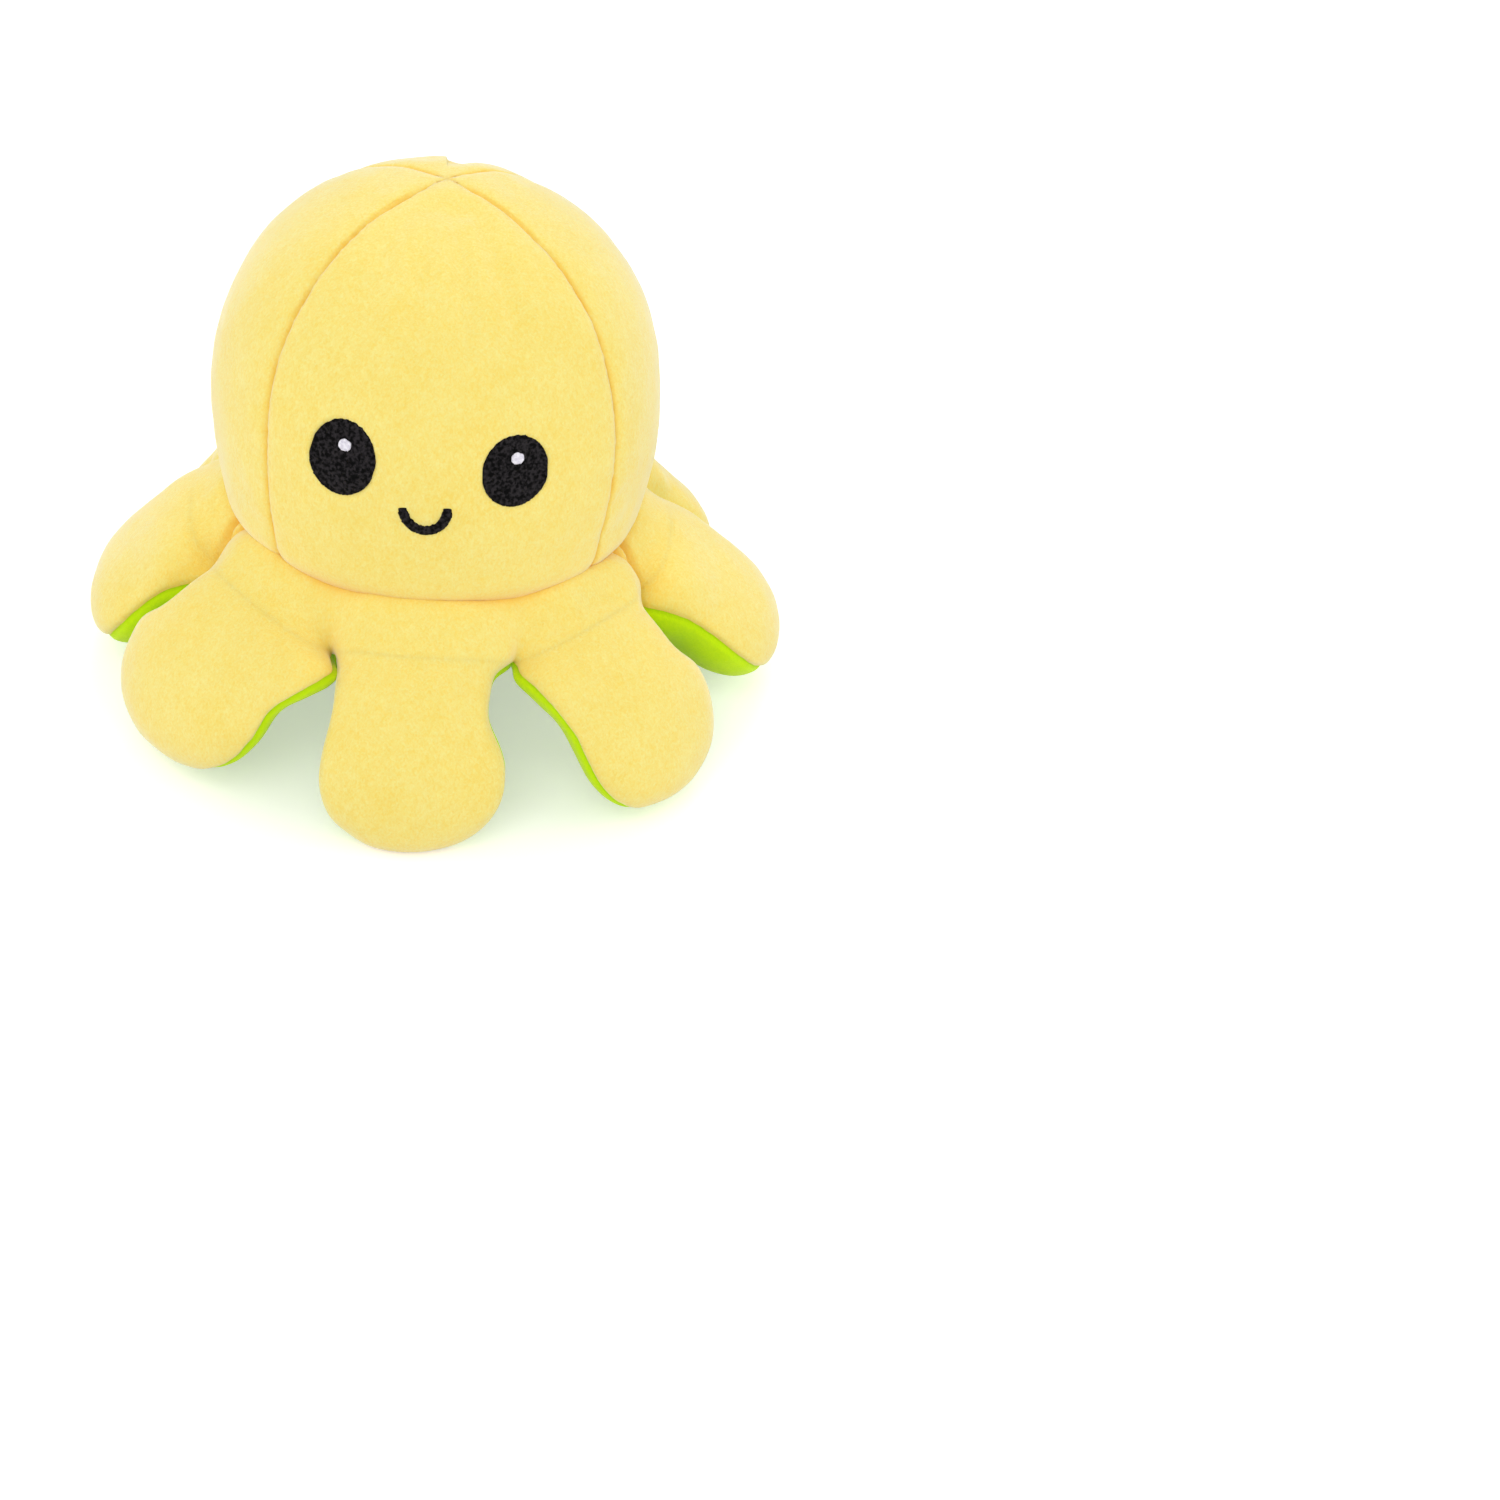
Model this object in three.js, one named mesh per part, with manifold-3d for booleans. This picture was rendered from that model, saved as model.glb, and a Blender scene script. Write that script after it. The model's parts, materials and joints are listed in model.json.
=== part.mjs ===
// A reversible plush octopus, about 20 cm across, standing on its eight tentacles.
// A yellow skin of four head panels and a skirt faces out. A second, green skin lines the skirt
// from below and is pushed up inside the head, so the toy can be turned inside out.
// Millimetres, +Z up, the face looks along -Y, and the surface it stands on is z = 0.

import * as THREE from 'three';
import { mergeVertices } from 'three/addons/utils/BufferGeometryUtils.js';
import Module from 'manifold-3d';

const wasm = await Module();
wasm.setup();

// Fabric and clearances
const clearance = 0.3;
const skin = 1.6;
const standingCut = 0.5;

// Head, measured from the middle of its neck seam along its own axis
const neckHeight = 63;
const neckRadius = 59.5;
const headRadius = 64.8;
const widestRise = 35;
const crownRise = 65.5;
const headLean = THREE.MathUtils.degToRad(5.5);
const faceTurn = THREE.MathUtils.degToRad(-2);
const panelTurn = THREE.MathUtils.degToRad(2);
const frontHalfWidth = THREE.MathUtils.degToRad(49);
const seamDip = 1.2;
const crownStitch = 0.6;

// Hollow that the inner head is pushed up into
const neckWall = 20.5;
const sideWall = 23;
const crownWall = 24;
const hollowWidestRise = 20;

// Skirt ring below the neck seam
const collarFlare = 3.5;
const collarDrop = 12;
const ringDepth = 24;
const ringRound = 6;
const collarInset = 11.5;

// Tentacles: the middle line falls from under the head to the surface
const rootInset = 9.5;
const rootDrop = 7;
const bendReach = 21.5;
const bendDrop = 20;
const tipReach = 31.5;
const rootHalfWidth = 21;
const notchHalfWidth = 25;
const waistHalfWidth = 22.4;
const paddleHalfWidth = 26.6;
const rootHalfThickness = 12;
const waistHalfThickness = 9.5;
const paddleHalfThickness = 12.8;
const knuckleMargin = 1.4;

// Embroidery
const stitchHeight = 0.8;
const eyeHalfWidth = 9.7;
const eyeHalfHeight = 11.2;
const eyeRise = 42.4;
const eyeSpread = 23.9;
const glintRadius = 2.1;
const glintRise = 4;
const mouthHalfWidth = 7.1;
const mouthRise = 31.3;
const mouthSag = 7.4;
const strokeWidth = 2.3;
const innerEyeHalfWidth = 8.2;
const innerEyeHalfHeight = 8.8;
const innerEyeRise = 30;
const innerEyeSpread = 18;
const innerMouthHalfWidth = 5.6;
const innerMouthRise = 14;
const innerMouthSag = 5.5;

// Shares and counts that give the forms their shape
const crownShape = 2.25;
const neckShape = 2.2;
const lowerStationShares = [0, 0.35, 0.7];
const upperStationShares = [0, 0.12, 0.26, 0.44, 0.62, 0.78, 0.91];
const panelStationShares = [-1, -0.82, -0.45, 0, 0.45, 0.82, 1];
const pathStationShares = [0, 0.14, 0.27, 0.44, 0.6, 0.74, 0.86, 0.945, 1];
const notchShare = 0.15;
const hingeShare = 0.27;
const paddleShare = 0.66;
const tipShape = 2.5;
const sidesAround = 10;
const tipEndShare = 0.12;
const knuckleSides = 16;
const collarSides = 24;
const backSinkShare = 0.12;
const seamSharpness = 8;
const patchRingShares = [0.55, 1];
const eyeSides = 20;
const glintSides = 8;
const strokeStations = 9;
const sleepyLidShare = 0.35;
const sleepySlantShare = 0.25;

// Reaches well past the toy, for the solids that cut it
const overrun = 4 * (neckRadius + tipReach);

// The eight tentacles in order round the body: azimuth from the front, and how far each one
// reaches compared with the front one
const limbs = [
  { name: 'front', degrees: -1.5, reachShare: 1 },
  { name: 'front_right', degrees: 47.5, reachShare: 1.05 },
  { name: 'right', degrees: 91, reachShare: 1.42 },
  { name: 'back_right', degrees: 134, reachShare: 1.4 },
  { name: 'back', degrees: 178, reachShare: 1.15 },
  { name: 'back_left', degrees: -137, reachShare: 1.15 },
  { name: 'left', degrees: -94, reachShare: 1.17 },
  { name: 'front_left', degrees: -51.5, reachShare: 1.05 },
];

const yellow = '#fbe88a';
const deepYellow = '#f2d56a';
const green = '#b4dc14';
const deepGreen = '#9cc60e';
const filling = '#f7f6f0';
const black = '#211f20';
const white = '#e7e4ed';

// Solids

function signedVolume(position, index) {
  const [a, b, c] = [new THREE.Vector3(), new THREE.Vector3(), new THREE.Vector3()];
  let volume = 0;
  for (let i = 0; i < index.count; i += 3) {
    a.fromBufferAttribute(position, index.getX(i));
    b.fromBufferAttribute(position, index.getX(i + 1));
    c.fromBufferAttribute(position, index.getX(i + 2));
    volume += a.dot(b.cross(c));
  }
  return volume;
}

// Turns a closed geometry's faces outwards if they point in
function facingOut(geometry) {
  const { index } = geometry;
  if (signedVolume(geometry.getAttribute('position'), index) < 0) {
    for (let i = 0; i < index.count; i += 3) {
      const held = index.getX(i);
      index.setX(i, index.getX(i + 1));
      index.setX(i + 1, held);
    }
  }
  return geometry;
}

function indexed(points, triangles) {
  const geometry = new THREE.BufferGeometry().setFromPoints(points);
  geometry.setIndex(triangles);
  return facingOut(geometry);
}

// Closed body through rings of equally many points, closed by a point at each end
function loft(startPole, rings, endPole) {
  const around = rings[0].length;
  const points = [startPole, ...rings.flat(), endPole];
  const last = points.length - 1;
  const triangles = [];
  const at = (ring, side) => 1 + ring * around + (side % around);
  for (let side = 0; side < around; side += 1) {
    triangles.push(0, at(0, side + 1), at(0, side));
    triangles.push(last, at(rings.length - 1, side), at(rings.length - 1, side + 1));
    for (let ring = 0; ring + 1 < rings.length; ring += 1) {
      const corners = [at(ring, side), at(ring, side + 1), at(ring + 1, side + 1), at(ring + 1, side)];
      triangles.push(corners[0], corners[1], corners[2]);
      triangles.push(corners[0], corners[2], corners[3]);
    }
  }
  return indexed(points, triangles);
}

// Closed plate between two grids of points, row by row
function plate(outer, inner) {
  const rows = outer.length;
  const columns = outer[0].length;
  const points = [...outer.flat(), ...inner.flat()];
  const at = (layer, row, column) => (layer * rows + row) * columns + column;
  const triangles = [];
  const quad = (a, b, c, d) => triangles.push(a, b, c, a, c, d);
  for (let row = 0; row + 1 < rows; row += 1) {
    for (let column = 0; column + 1 < columns; column += 1) {
      quad(at(0, row, column), at(0, row, column + 1), at(0, row + 1, column + 1), at(0, row + 1, column));
      quad(at(1, row, column), at(1, row + 1, column), at(1, row + 1, column + 1), at(1, row, column + 1));
    }
    quad(at(0, row, 0), at(0, row + 1, 0), at(1, row + 1, 0), at(1, row, 0));
    const edge = columns - 1;
    quad(at(0, row, edge), at(1, row, edge), at(1, row + 1, edge), at(0, row + 1, edge));
  }
  for (let column = 0; column + 1 < columns; column += 1) {
    const edge = rows - 1;
    quad(at(0, 0, column), at(1, 0, column), at(1, 0, column + 1), at(0, 0, column + 1));
    quad(at(0, edge, column), at(0, edge, column + 1), at(1, edge, column + 1), at(1, edge, column));
  }
  return indexed(points, triangles);
}

function solid(geometry) {
  const bare = geometry.clone();
  bare.deleteAttribute('normal');
  bare.deleteAttribute('uv');
  const merged = facingOut(mergeVertices(bare));
  const mesh = new wasm.Mesh({
    numProp: 3,
    vertProperties: new Float32Array(merged.getAttribute('position').array),
    triVerts: new Uint32Array(merged.getIndex().array),
  });
  return new wasm.Manifold(mesh);
}

// The triangles of the largest connected body, without the crumbs that crossing cuts can leave
function largestBody(triangles, pointCount) {
  const leader = Array.from({ length: pointCount }, (_, i) => i);
  const find = (i) => {
    let at = i;
    while (leader[at] !== at) at = leader[at];
    leader[i] = at;
    return at;
  };
  for (let i = 0; i < triangles.length; i += 3) {
    leader[find(triangles[i])] = find(triangles[i + 1]);
    leader[find(triangles[i + 1])] = find(triangles[i + 2]);
  }
  const bodies = Map.groupBy(triangles, (corner) => find(corner));
  return [...bodies.values()].reduce((most, next) => (next.length > most.length ? next : most));
}

function geometryOf(manifold) {
  const { vertProperties, triVerts, numProp } = manifold.getMesh();
  const points = [];
  for (let i = 0; i < vertProperties.length; i += numProp) {
    points.push(new THREE.Vector3(vertProperties[i], vertProperties[i + 1], vertProperties[i + 2]));
  }
  return indexed(points, largestBody(Array.from(triVerts), points.length));
}

function moved(geometry, matrix) {
  return geometry.clone().applyMatrix4(matrix);
}

function union(solids) {
  return solids.reduce((whole, next) => whole.add(next));
}

function node(name, geometry, color, roughness = 0.95) {
  const flat = geometry.toNonIndexed();
  flat.computeVertexNormals();
  const mesh = new THREE.Mesh(flat, new THREE.MeshStandardMaterial({ color, roughness, metalness: 0 }));
  mesh.name = name;
  return mesh;
}

// Head and hollow: forms of revolution round the head's own axis

const headForm = { base: neckRadius, widest: headRadius, widestRise, crownRise };
const hollowForm = {
  base: neckRadius - neckWall,
  widest: headRadius - sideWall,
  widestRise: hollowWidestRise,
  crownRise: widestRise + crownRise - crownWall - hollowWidestRise,
};
const seamAzimuths = [-frontHalfWidth, frontHalfWidth, Math.PI - frontHalfWidth, Math.PI + frontHalfWidth]
  .map((azimuth) => azimuth + panelTurn);

// Radius and height of a form's surface at a height, moved out along its normal by offset, but
// never below the neck seam
function profilePoint(form, height, offset) {
  const below = Math.max((form.widestRise - height) / form.widestRise, 0);
  const above = Math.max((height - form.widestRise) / form.crownRise, 0);
  const radius = above > 0
    ? form.widest * Math.max(1 - above ** crownShape, 0) ** (1 / crownShape)
    : form.widest - (form.widest - form.base) * below ** neckShape;
  const belowSlope = (form.widest - form.base) * neckShape * below ** (neckShape - 1) / form.widestRise;
  const normal = above > 0
    ? new THREE.Vector2(
      (radius / form.widest) ** (crownShape - 1) / form.widest,
      above ** (crownShape - 1) / form.crownRise,
    )
    : new THREE.Vector2(1, -belowSlope);
  const point = new THREE.Vector2(radius, height).addScaledVector(normal.normalize(), offset);
  return new THREE.Vector2(point.x, Math.max(point.y, 0));
}

function stationHeights(form) {
  const lower = lowerStationShares.map((share) => share * form.widestRise);
  const upper = upperStationShares.map(
    (share) => form.widestRise + form.crownRise * Math.sin(share * Math.PI / 2) ** (2 / crownShape),
  );
  return [...lower, ...upper];
}

// Height on the dome where the panels' points are stitched together
function stitchedTop(form) {
  return form.widestRise + form.crownRise * (1 - (crownStitch / form.widest) ** crownShape) ** (1 / crownShape);
}

function roundPoint(azimuth, radius, height) {
  return new THREE.Vector3(radius * Math.sin(azimuth), -radius * Math.cos(azimuth), height);
}

// Point on a form, drawn in towards the panel seams by dip; share is -1 and 1 at the seams
function panelPoint(form, azimuth, share, height, offset, dip) {
  const at = profilePoint(form, height, offset);
  const drawn = dip * share ** seamSharpness * at.x / form.widest;
  return roundPoint(azimuth, at.x - drawn, at.y);
}

function panelSpan(index) {
  const from = seamAzimuths[index];
  const to = seamAzimuths[(index + 1) % 4] + (index === 3 ? 2 * Math.PI : 0);
  return { middle: (from + to) / 2, half: (to - from) / 2 };
}

// One gore panel of a form: fabric between two offsets from its surface
function gorePanel(form, index, outerOffset, innerOffset, dip) {
  const { middle, half } = panelSpan(index);
  const heights = [...stationHeights(form), stitchedTop(form)];
  const grid = (offset) => heights.map((height) => {
    const { x: radius } = profilePoint(form, height, Math.max(offset, 0));
    const edge = Math.asin(Math.min(clearance / 2 / radius, 1));
    return panelStationShares.map(
      (share) => panelPoint(form, middle + share * (half - edge), share, height, offset, dip),
    );
  });
  return plate(grid(outerOffset), grid(innerOffset));
}

// A full ring of points of a form, at the same stations as its panels
function formRing(form, height, offset, dip) {
  return [0, 1, 2, 3].flatMap((index) => {
    const { middle, half } = panelSpan(index);
    return panelStationShares.slice(0, -1).map(
      (share) => panelPoint(form, middle + share * half, share, height, offset, dip),
    );
  });
}

function headFilling() {
  const outerOffset = -skin - clearance;
  const hollowOffset = skin + clearance;
  const outside = stationHeights(headForm).map((height) => formRing(headForm, height, outerOffset, seamDip));
  const inside = stationHeights(hollowForm).map((height) => formRing(hollowForm, height, hollowOffset, 0));
  const top = profilePoint(headForm, widestRise + crownRise, outerOffset);
  const roof = profilePoint(hollowForm, hollowForm.widestRise + hollowForm.crownRise, hollowOffset);
  return loft(roundPoint(0, 0, roof.y), [...inside.reverse(), ...outside], roundPoint(0, 0, top.y));
}

// Embroidery: a patch laid on a form, given by distances across and up from a middle point

function onForm(form, middle, across, up, offset) {
  const at = profilePoint(form, middle.rise + up, offset);
  return roundPoint(middle.azimuth + across / form.widest, at.x, at.y);
}

// How far a panel's flat facets stand inside the round form between two stations
function facetSag(form) {
  const steps = panelStationShares.slice(1).map((share, i) => share - panelStationShares[i]);
  return form.widest * (1 - Math.cos(Math.max(...steps) * frontHalfWidth / 2));
}

// Offset of a layer of stitches from the form; side is 1 on the outside and -1 in a hollow,
// where the stitches clear the facets as well
function stitchOffset(form, side, height) {
  return side > 0 ? clearance + height : -(facetSag(form) + clearance + height);
}

// A patch of stitches between two heights above the form it is sewn to
function patch(form, middle, outline, from, to, side) {
  const low = stitchOffset(form, side, from);
  const high = stitchOffset(form, side, to);
  const ring = (offset, share) => outline.map(
    (point) => onForm(form, middle, point.x * share, point.y * share, offset),
  );
  const rings = [
    ...patchRingShares.map((share) => ring(low, share)),
    ...patchRingShares.map((share) => ring(high, share)).reverse(),
  ];
  return loft(onForm(form, middle, 0, 0, low), rings, onForm(form, middle, 0, 0, high));
}

function oval(halfWidth, halfHeight, sides) {
  return Array.from({ length: sides }, (_, i) => {
    const turn = 2 * Math.PI * i / sides;
    return new THREE.Vector2(halfWidth * Math.cos(turn), halfHeight * Math.sin(turn));
  });
}

// An oval cut off by a slanting lid; slant is 1 or -1 for the side that hangs lower
function lidded(halfWidth, halfHeight, sides, slant) {
  return oval(halfWidth, halfHeight, sides).map((point) => {
    const lid = halfHeight * (sleepyLidShare - slant * sleepySlantShare * point.x / halfWidth);
    return new THREE.Vector2(point.x, Math.min(point.y, lid));
  });
}

// A mouth: a strip along an arc that hangs down by sag, or arches up where sag is negative
function mouth(form, middle, halfWidth, sag, side) {
  const low = stitchOffset(form, side, 0);
  const high = stitchOffset(form, side, stitchHeight);
  const half = strokeWidth / 2;
  const line = (share) => new THREE.Vector2(halfWidth * share, -sag * (1 - share ** 2));
  const rings = Array.from({ length: strokeStations }, (_, i) => {
    const share = 2 * i / (strokeStations - 1) - 1;
    const at = line(share);
    const along = new THREE.Vector2(halfWidth, 2 * sag * share).normalize();
    const across = new THREE.Vector2(-along.y, along.x).multiplyScalar(half);
    return [[1, low], [-1, low], [-1, high], [1, high]].map(
      ([way, offset]) => onForm(form, middle, at.x + way * across.x, at.y + way * across.y, offset),
    );
  });
  const end = (share) => {
    const at = line(share);
    return onForm(form, middle, at.x, at.y, (low + high) / 2);
  };
  return loft(end(-1), rings, end(1));
}

function face(prefix, form, side, sizes) {
  const smile = mouth(form, { azimuth: faceTurn, rise: sizes.mouthRise }, sizes.mouthHalfWidth, sizes.sag, side);
  const named = [node(`${prefix}_mouth`, smile, black, 0.6)];
  for (const [hand, way] of [['left', -1], ['right', 1]]) {
    const middle = { azimuth: faceTurn + way * sizes.spread / form.widest, rise: sizes.rise };
    const eye = patch(form, middle, sizes.outline(way), 0, stitchHeight, side);
    const spark = { azimuth: middle.azimuth, rise: sizes.rise + sizes.glintRise };
    const from = stitchHeight + clearance;
    const glint = patch(form, spark, oval(glintRadius, glintRadius, glintSides), from, from + stitchHeight / 2, side);
    named.push(node(`${prefix}_${hand}_eye`, eye, black, 0.6));
    named.push(node(`${prefix}_${hand}_glint`, glint, white, 0.5));
  }
  return named;
}

// Tentacles, each in its own frame: +X out from the body's axis, +Z up

// The skirt hangs lower towards the back, because the head leans back
function middleLine(azimuth, reachShare) {
  const level = 1 - backSinkShare * ((1 - Math.cos(azimuth)) / 2) ** 2;
  return new THREE.QuadraticBezierCurve3(
    new THREE.Vector3(neckRadius - rootInset, 0, (neckHeight - rootDrop) * level),
    new THREE.Vector3(neckRadius + bendReach, 0, (neckHeight - bendDrop) * level),
    new THREE.Vector3(neckRadius + tipReach * reachShare, 0, -standingCut),
  );
}

function limbShape(limb) {
  const path = middleLine(limb.azimuth, limb.reachShare);
  return { path, length: path.getLength(), hinge: path.getPoint(hingeShare) };
}

function eased(from, to, share) {
  return from + (to - from) * THREE.MathUtils.smoothstep(share, 0, 1);
}

// Full size up to the paddle's widest place, then rounded off to almost nothing at the tip
function tipRounding(share) {
  const past = Math.max((share - paddleShare) / (1 - paddleShare), 0);
  return Math.max((1 - past ** tipShape) ** (1 / tipShape), tipEndShare);
}

function halfWidth(share) {
  if (share < notchShare) return eased(rootHalfWidth, notchHalfWidth, share / notchShare);
  if (share < hingeShare) {
    return eased(notchHalfWidth, waistHalfWidth, (share - notchShare) / (hingeShare - notchShare));
  }
  const swell = (share - hingeShare) / (paddleShare - hingeShare);
  return eased(waistHalfWidth, paddleHalfWidth, swell) * tipRounding(share);
}

function halfThickness(share) {
  if (share < hingeShare) return eased(rootHalfThickness, waistHalfThickness, share / hingeShare);
  const swell = (share - hingeShare) / (paddleShare - hingeShare);
  return eased(waistHalfThickness, paddleHalfThickness, swell) * tipRounding(share);
}

function upAcross(path, share) {
  const along = path.getTangent(share);
  return new THREE.Vector3(-along.z, 0, along.x);
}

// Half width and half thickness of the section at a share of the path, drawn in by inset but
// never to less than the end that is left at the tip
function section(share, inset) {
  const least = tipEndShare * paddleHalfThickness;
  return {
    wide: Math.max(halfWidth(share) - inset, least),
    thick: Math.max(halfThickness(share) - inset, least / 2),
  };
}

// Points of a limb's section, turned and carried to their place on the path
function sectionPoints({ path, length }, share, inset, outline) {
  const along = THREE.MathUtils.lerp(inset / length, 1 - inset / length, share);
  const middle = path.getPoint(along);
  const up = upAcross(path, along);
  return outline.map(({ x, y }) => new THREE.Vector3(0, x, 0).addScaledVector(up, y).add(middle));
}

// The whole limb from under the head to its tip, everywhere smaller by inset
function limbSolid(shape, inset) {
  const rings = pathStationShares.map((share) => {
    const { wide, thick } = section(share, inset);
    return sectionPoints(shape, share, inset, oval(wide, thick, sidesAround));
  });
  const end = inset / shape.length;
  return solid(loft(shape.path.getPoint(end), rings, shape.path.getPoint(1 - end)));
}

// One fabric half of a limb: side is 1 for the half that faces up and out, -1 for the underside
function limbCover(shape, side) {
  const arc = (wide, thick) => Array.from({ length: sidesAround / 2 + 1 }, (_, i) => {
    const turn = 2 * Math.PI * i / sidesAround;
    const seam = clearance / 2;
    return new THREE.Vector2(wide * Math.cos(turn), side * (seam + (thick - seam) * Math.sin(turn)));
  });
  const grid = (inset) => pathStationShares.map((share) => {
    const { wide, thick } = section(share, inset);
    return sectionPoints(shape, share, inset, arc(wide, thick));
  });
  return solid(plate(grid(0), grid(skin)));
}

// A solid of a profile in the XZ plane, as wide as the object on both sides of it
function acrossSolid(corners) {
  const outline = new THREE.Shape(corners.map(({ x, z }) => new THREE.Vector2(x, z)));
  const geometry = new THREE.ExtrudeGeometry(outline, { depth: 2 * overrun, bevelEnabled: false });
  geometry.translate(0, 0, -overrun).rotateX(Math.PI / 2);
  return solid(geometry);
}

// Everything past the hinge's plane, moved out along the limb by offset
function pastHinge({ path, hinge }, offset) {
  const along = path.getTangent(hingeShare);
  const up = upAcross(path, hingeShare);
  const start = hinge.clone().addScaledVector(along, offset);
  return acrossSolid([
    start.clone().addScaledVector(up, -overrun),
    start.clone().addScaledVector(up, -overrun).addScaledVector(along, overrun),
    start.clone().addScaledVector(up, overrun).addScaledVector(along, overrun),
    start.clone().addScaledVector(up, overrun),
  ]);
}

// The space between the planes halfway to the two neighbours, drawn in by inset
function wedge(limb, inset) {
  const apex = inset / Math.sin(Math.min(limb.halfToNext, limb.halfToLast));
  const outline = new THREE.Shape([
    new THREE.Vector2(apex, 0),
    new THREE.Vector2(apex + overrun * Math.cos(limb.halfToLast), -overrun * Math.sin(limb.halfToLast)),
    new THREE.Vector2(2 * overrun, 0),
    new THREE.Vector2(apex + overrun * Math.cos(limb.halfToNext), overrun * Math.sin(limb.halfToNext)),
  ]);
  const geometry = new THREE.ExtrudeGeometry(outline, { depth: 2 * overrun, bevelEnabled: false });
  geometry.translate(0, 0, -overrun);
  return solid(geometry);
}

// The round end that turns in the skirt ring: a barrel with its axis across the limb, and cone
// ends that stay clear of the two neighbours
function knuckle({ shape: { hinge }, halfToNext, halfToLast }, grow) {
  const radius = waistHalfThickness + knuckleMargin;
  const spread = Math.tan(Math.min(halfToNext, halfToLast));
  const half = (hinge.x - radius) * spread - clearance;
  const cone = hinge.x * spread - knuckleMargin - half;
  const slant = Math.hypot(radius, cone);
  const shoulder = half + grow * (slant - cone) / radius;
  const end = half + cone + grow * slant / radius;
  const ring = (across) => oval(radius + grow, radius + grow, knuckleSides)
    .map(({ x, y }) => new THREE.Vector3(hinge.x + x, across, hinge.z + y));
  const pole = (across) => new THREE.Vector3(hinge.x, across, hinge.z);
  return solid(loft(pole(-end), [ring(-shoulder), ring(shoulder)], pole(end)));
}

// Above the seam that runs round the skirt ring between the limbs, outside the neck; grown by
// drop on its lower and inner sides
function upperCollar(drop) {
  const azimuths = Array.from({ length: collarSides }, (_, i) => 2 * Math.PI * i / collarSides);
  const seamRing = (share) => azimuths.map((azimuth) => {
    const at = middleLine(azimuth, 1).getPoint(share);
    return roundPoint(azimuth, at.x, at.z - drop);
  });
  const level = (radius, height) => azimuths.map((azimuth) => roundPoint(azimuth, radius, height));
  const seam = [0, hingeShare / 2, hingeShare, 2 * hingeShare].map(seamRing);
  const above = solid(loft(
    roundPoint(0, 0, neckHeight - rootDrop),
    [...seam, level(overrun, 0), level(overrun, overrun)],
    roundPoint(0, 0, overrun),
  ));
  const inner = neckRadius - collarInset - drop;
  const mouthway = new THREE.CylinderGeometry(inner, inner, 2 * overrun, collarSides).rotateX(Math.PI / 2);
  return above.subtract(solid(mouthway));
}

function floorSolid() {
  const geometry = new THREE.BoxGeometry(2 * overrun, 2 * overrun, overrun);
  geometry.translate(0, 0, -overrun / 2);
  return solid(geometry);
}

for (const [i, limb] of limbs.entries()) {
  const turn = 2 * Math.PI;
  const azimuth = (step) => THREE.MathUtils.degToRad(limbs[(i + step + limbs.length) % limbs.length].degrees);
  limb.azimuth = azimuth(0);
  limb.halfToNext = ((azimuth(1) - azimuth(0) + turn) % turn) / 2;
  limb.halfToLast = ((azimuth(0) - azimuth(-1) + turn) % turn) / 2;
  limb.shape = limbShape(limb);
  limb.place = new THREE.Matrix4().makeRotationZ(limb.azimuth - Math.PI / 2);
}

function limbNodes(limb) {
  const { shape } = limb;
  const hinged = (whole) => whole.intersect(pastHinge(shape, clearance / 2)).intersect(wedge(limb, clearance))
    .add(whole.intersect(knuckle(limb, 0)))
    .subtract(floorSolid());
  const pieces = [
    [`${limb.name}_tentacle_top`, limbCover(shape, 1), yellow],
    [`${limb.name}_tentacle_underside`, limbCover(shape, -1), green],
    [`${limb.name}_tentacle_filling`, limbSolid(shape, skin + clearance), filling],
  ];
  return pieces.map(([name, whole, color]) => {
    const geometry = geometryOf(hinged(whole));
    geometry.translate(-shape.hinge.x, 0, -shape.hinge.z);
    return node(name, geometry, color);
  });
}

// Skirt ring: the collar below the neck seam, joined to the eight limbs' roots

const headPlace = new THREE.Matrix4().makeRotationX(-headLean).setPosition(0, 0, neckHeight);

function collarSolid(inset) {
  const outer = neckRadius - inset;
  const inner = neckRadius - neckWall + inset;
  const flare = outer + collarFlare;
  const outline = [
    [inner, ringRound],
    [outer, ringRound],
    [outer, 0],
    [flare, -collarDrop / 2],
    [flare, -collarDrop],
    [outer - ringRound / 2, -ringDepth + inset],
    [inner + ringRound, -ringDepth + inset],
    [inner, -ringDepth + ringRound],
    [inner, ringRound],
  ].map(([x, y]) => new THREE.Vector2(x, y));
  const geometry = new THREE.LatheGeometry(outline, collarSides);
  geometry.rotateX(Math.PI / 2);
  return solid(moved(geometry, headPlace));
}

function placed(limb, manifold) {
  return solid(moved(geometryOf(manifold), limb.place));
}

function ringBody(inset) {
  return union([collarSolid(inset), ...limbs.map((limb) => placed(limb, limbSolid(limb.shape, inset)))]);
}

function ringNodes() {
  const aboveNeck = new THREE.BoxGeometry(2 * overrun, 2 * overrun, overrun).translate(0, 0, overrun / 2 - clearance);
  const taken = union([
    solid(moved(aboveNeck, headPlace)),
    ...limbs.map((limb) => placed(limb, pastHinge(limb.shape, -clearance / 2).intersect(wedge(limb, -clearance)))),
    ...limbs.map((limb) => placed(limb, knuckle(limb, clearance))),
  ]);
  const cover = ringBody(0).subtract(ringBody(skin));
  const core = neckRadius + collarFlare;
  const within = solid(new THREE.CylinderGeometry(core, core, 2 * overrun, collarSides).rotateX(Math.PI / 2));
  return [
    node('skirt_top', geometryOf(cover.intersect(upperCollar(0)).subtract(taken)), deepYellow),
    node('skirt_underside', geometryOf(cover.subtract(upperCollar(clearance)).subtract(taken)), deepGreen),
    node('skirt_filling', geometryOf(ringBody(skin + clearance).subtract(taken).intersect(within)), filling),
  ];
}

// Assembly

const octopus = new THREE.Group();

const head = new THREE.Group();
head.applyMatrix4(headPlace);
octopus.add(head);

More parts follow.
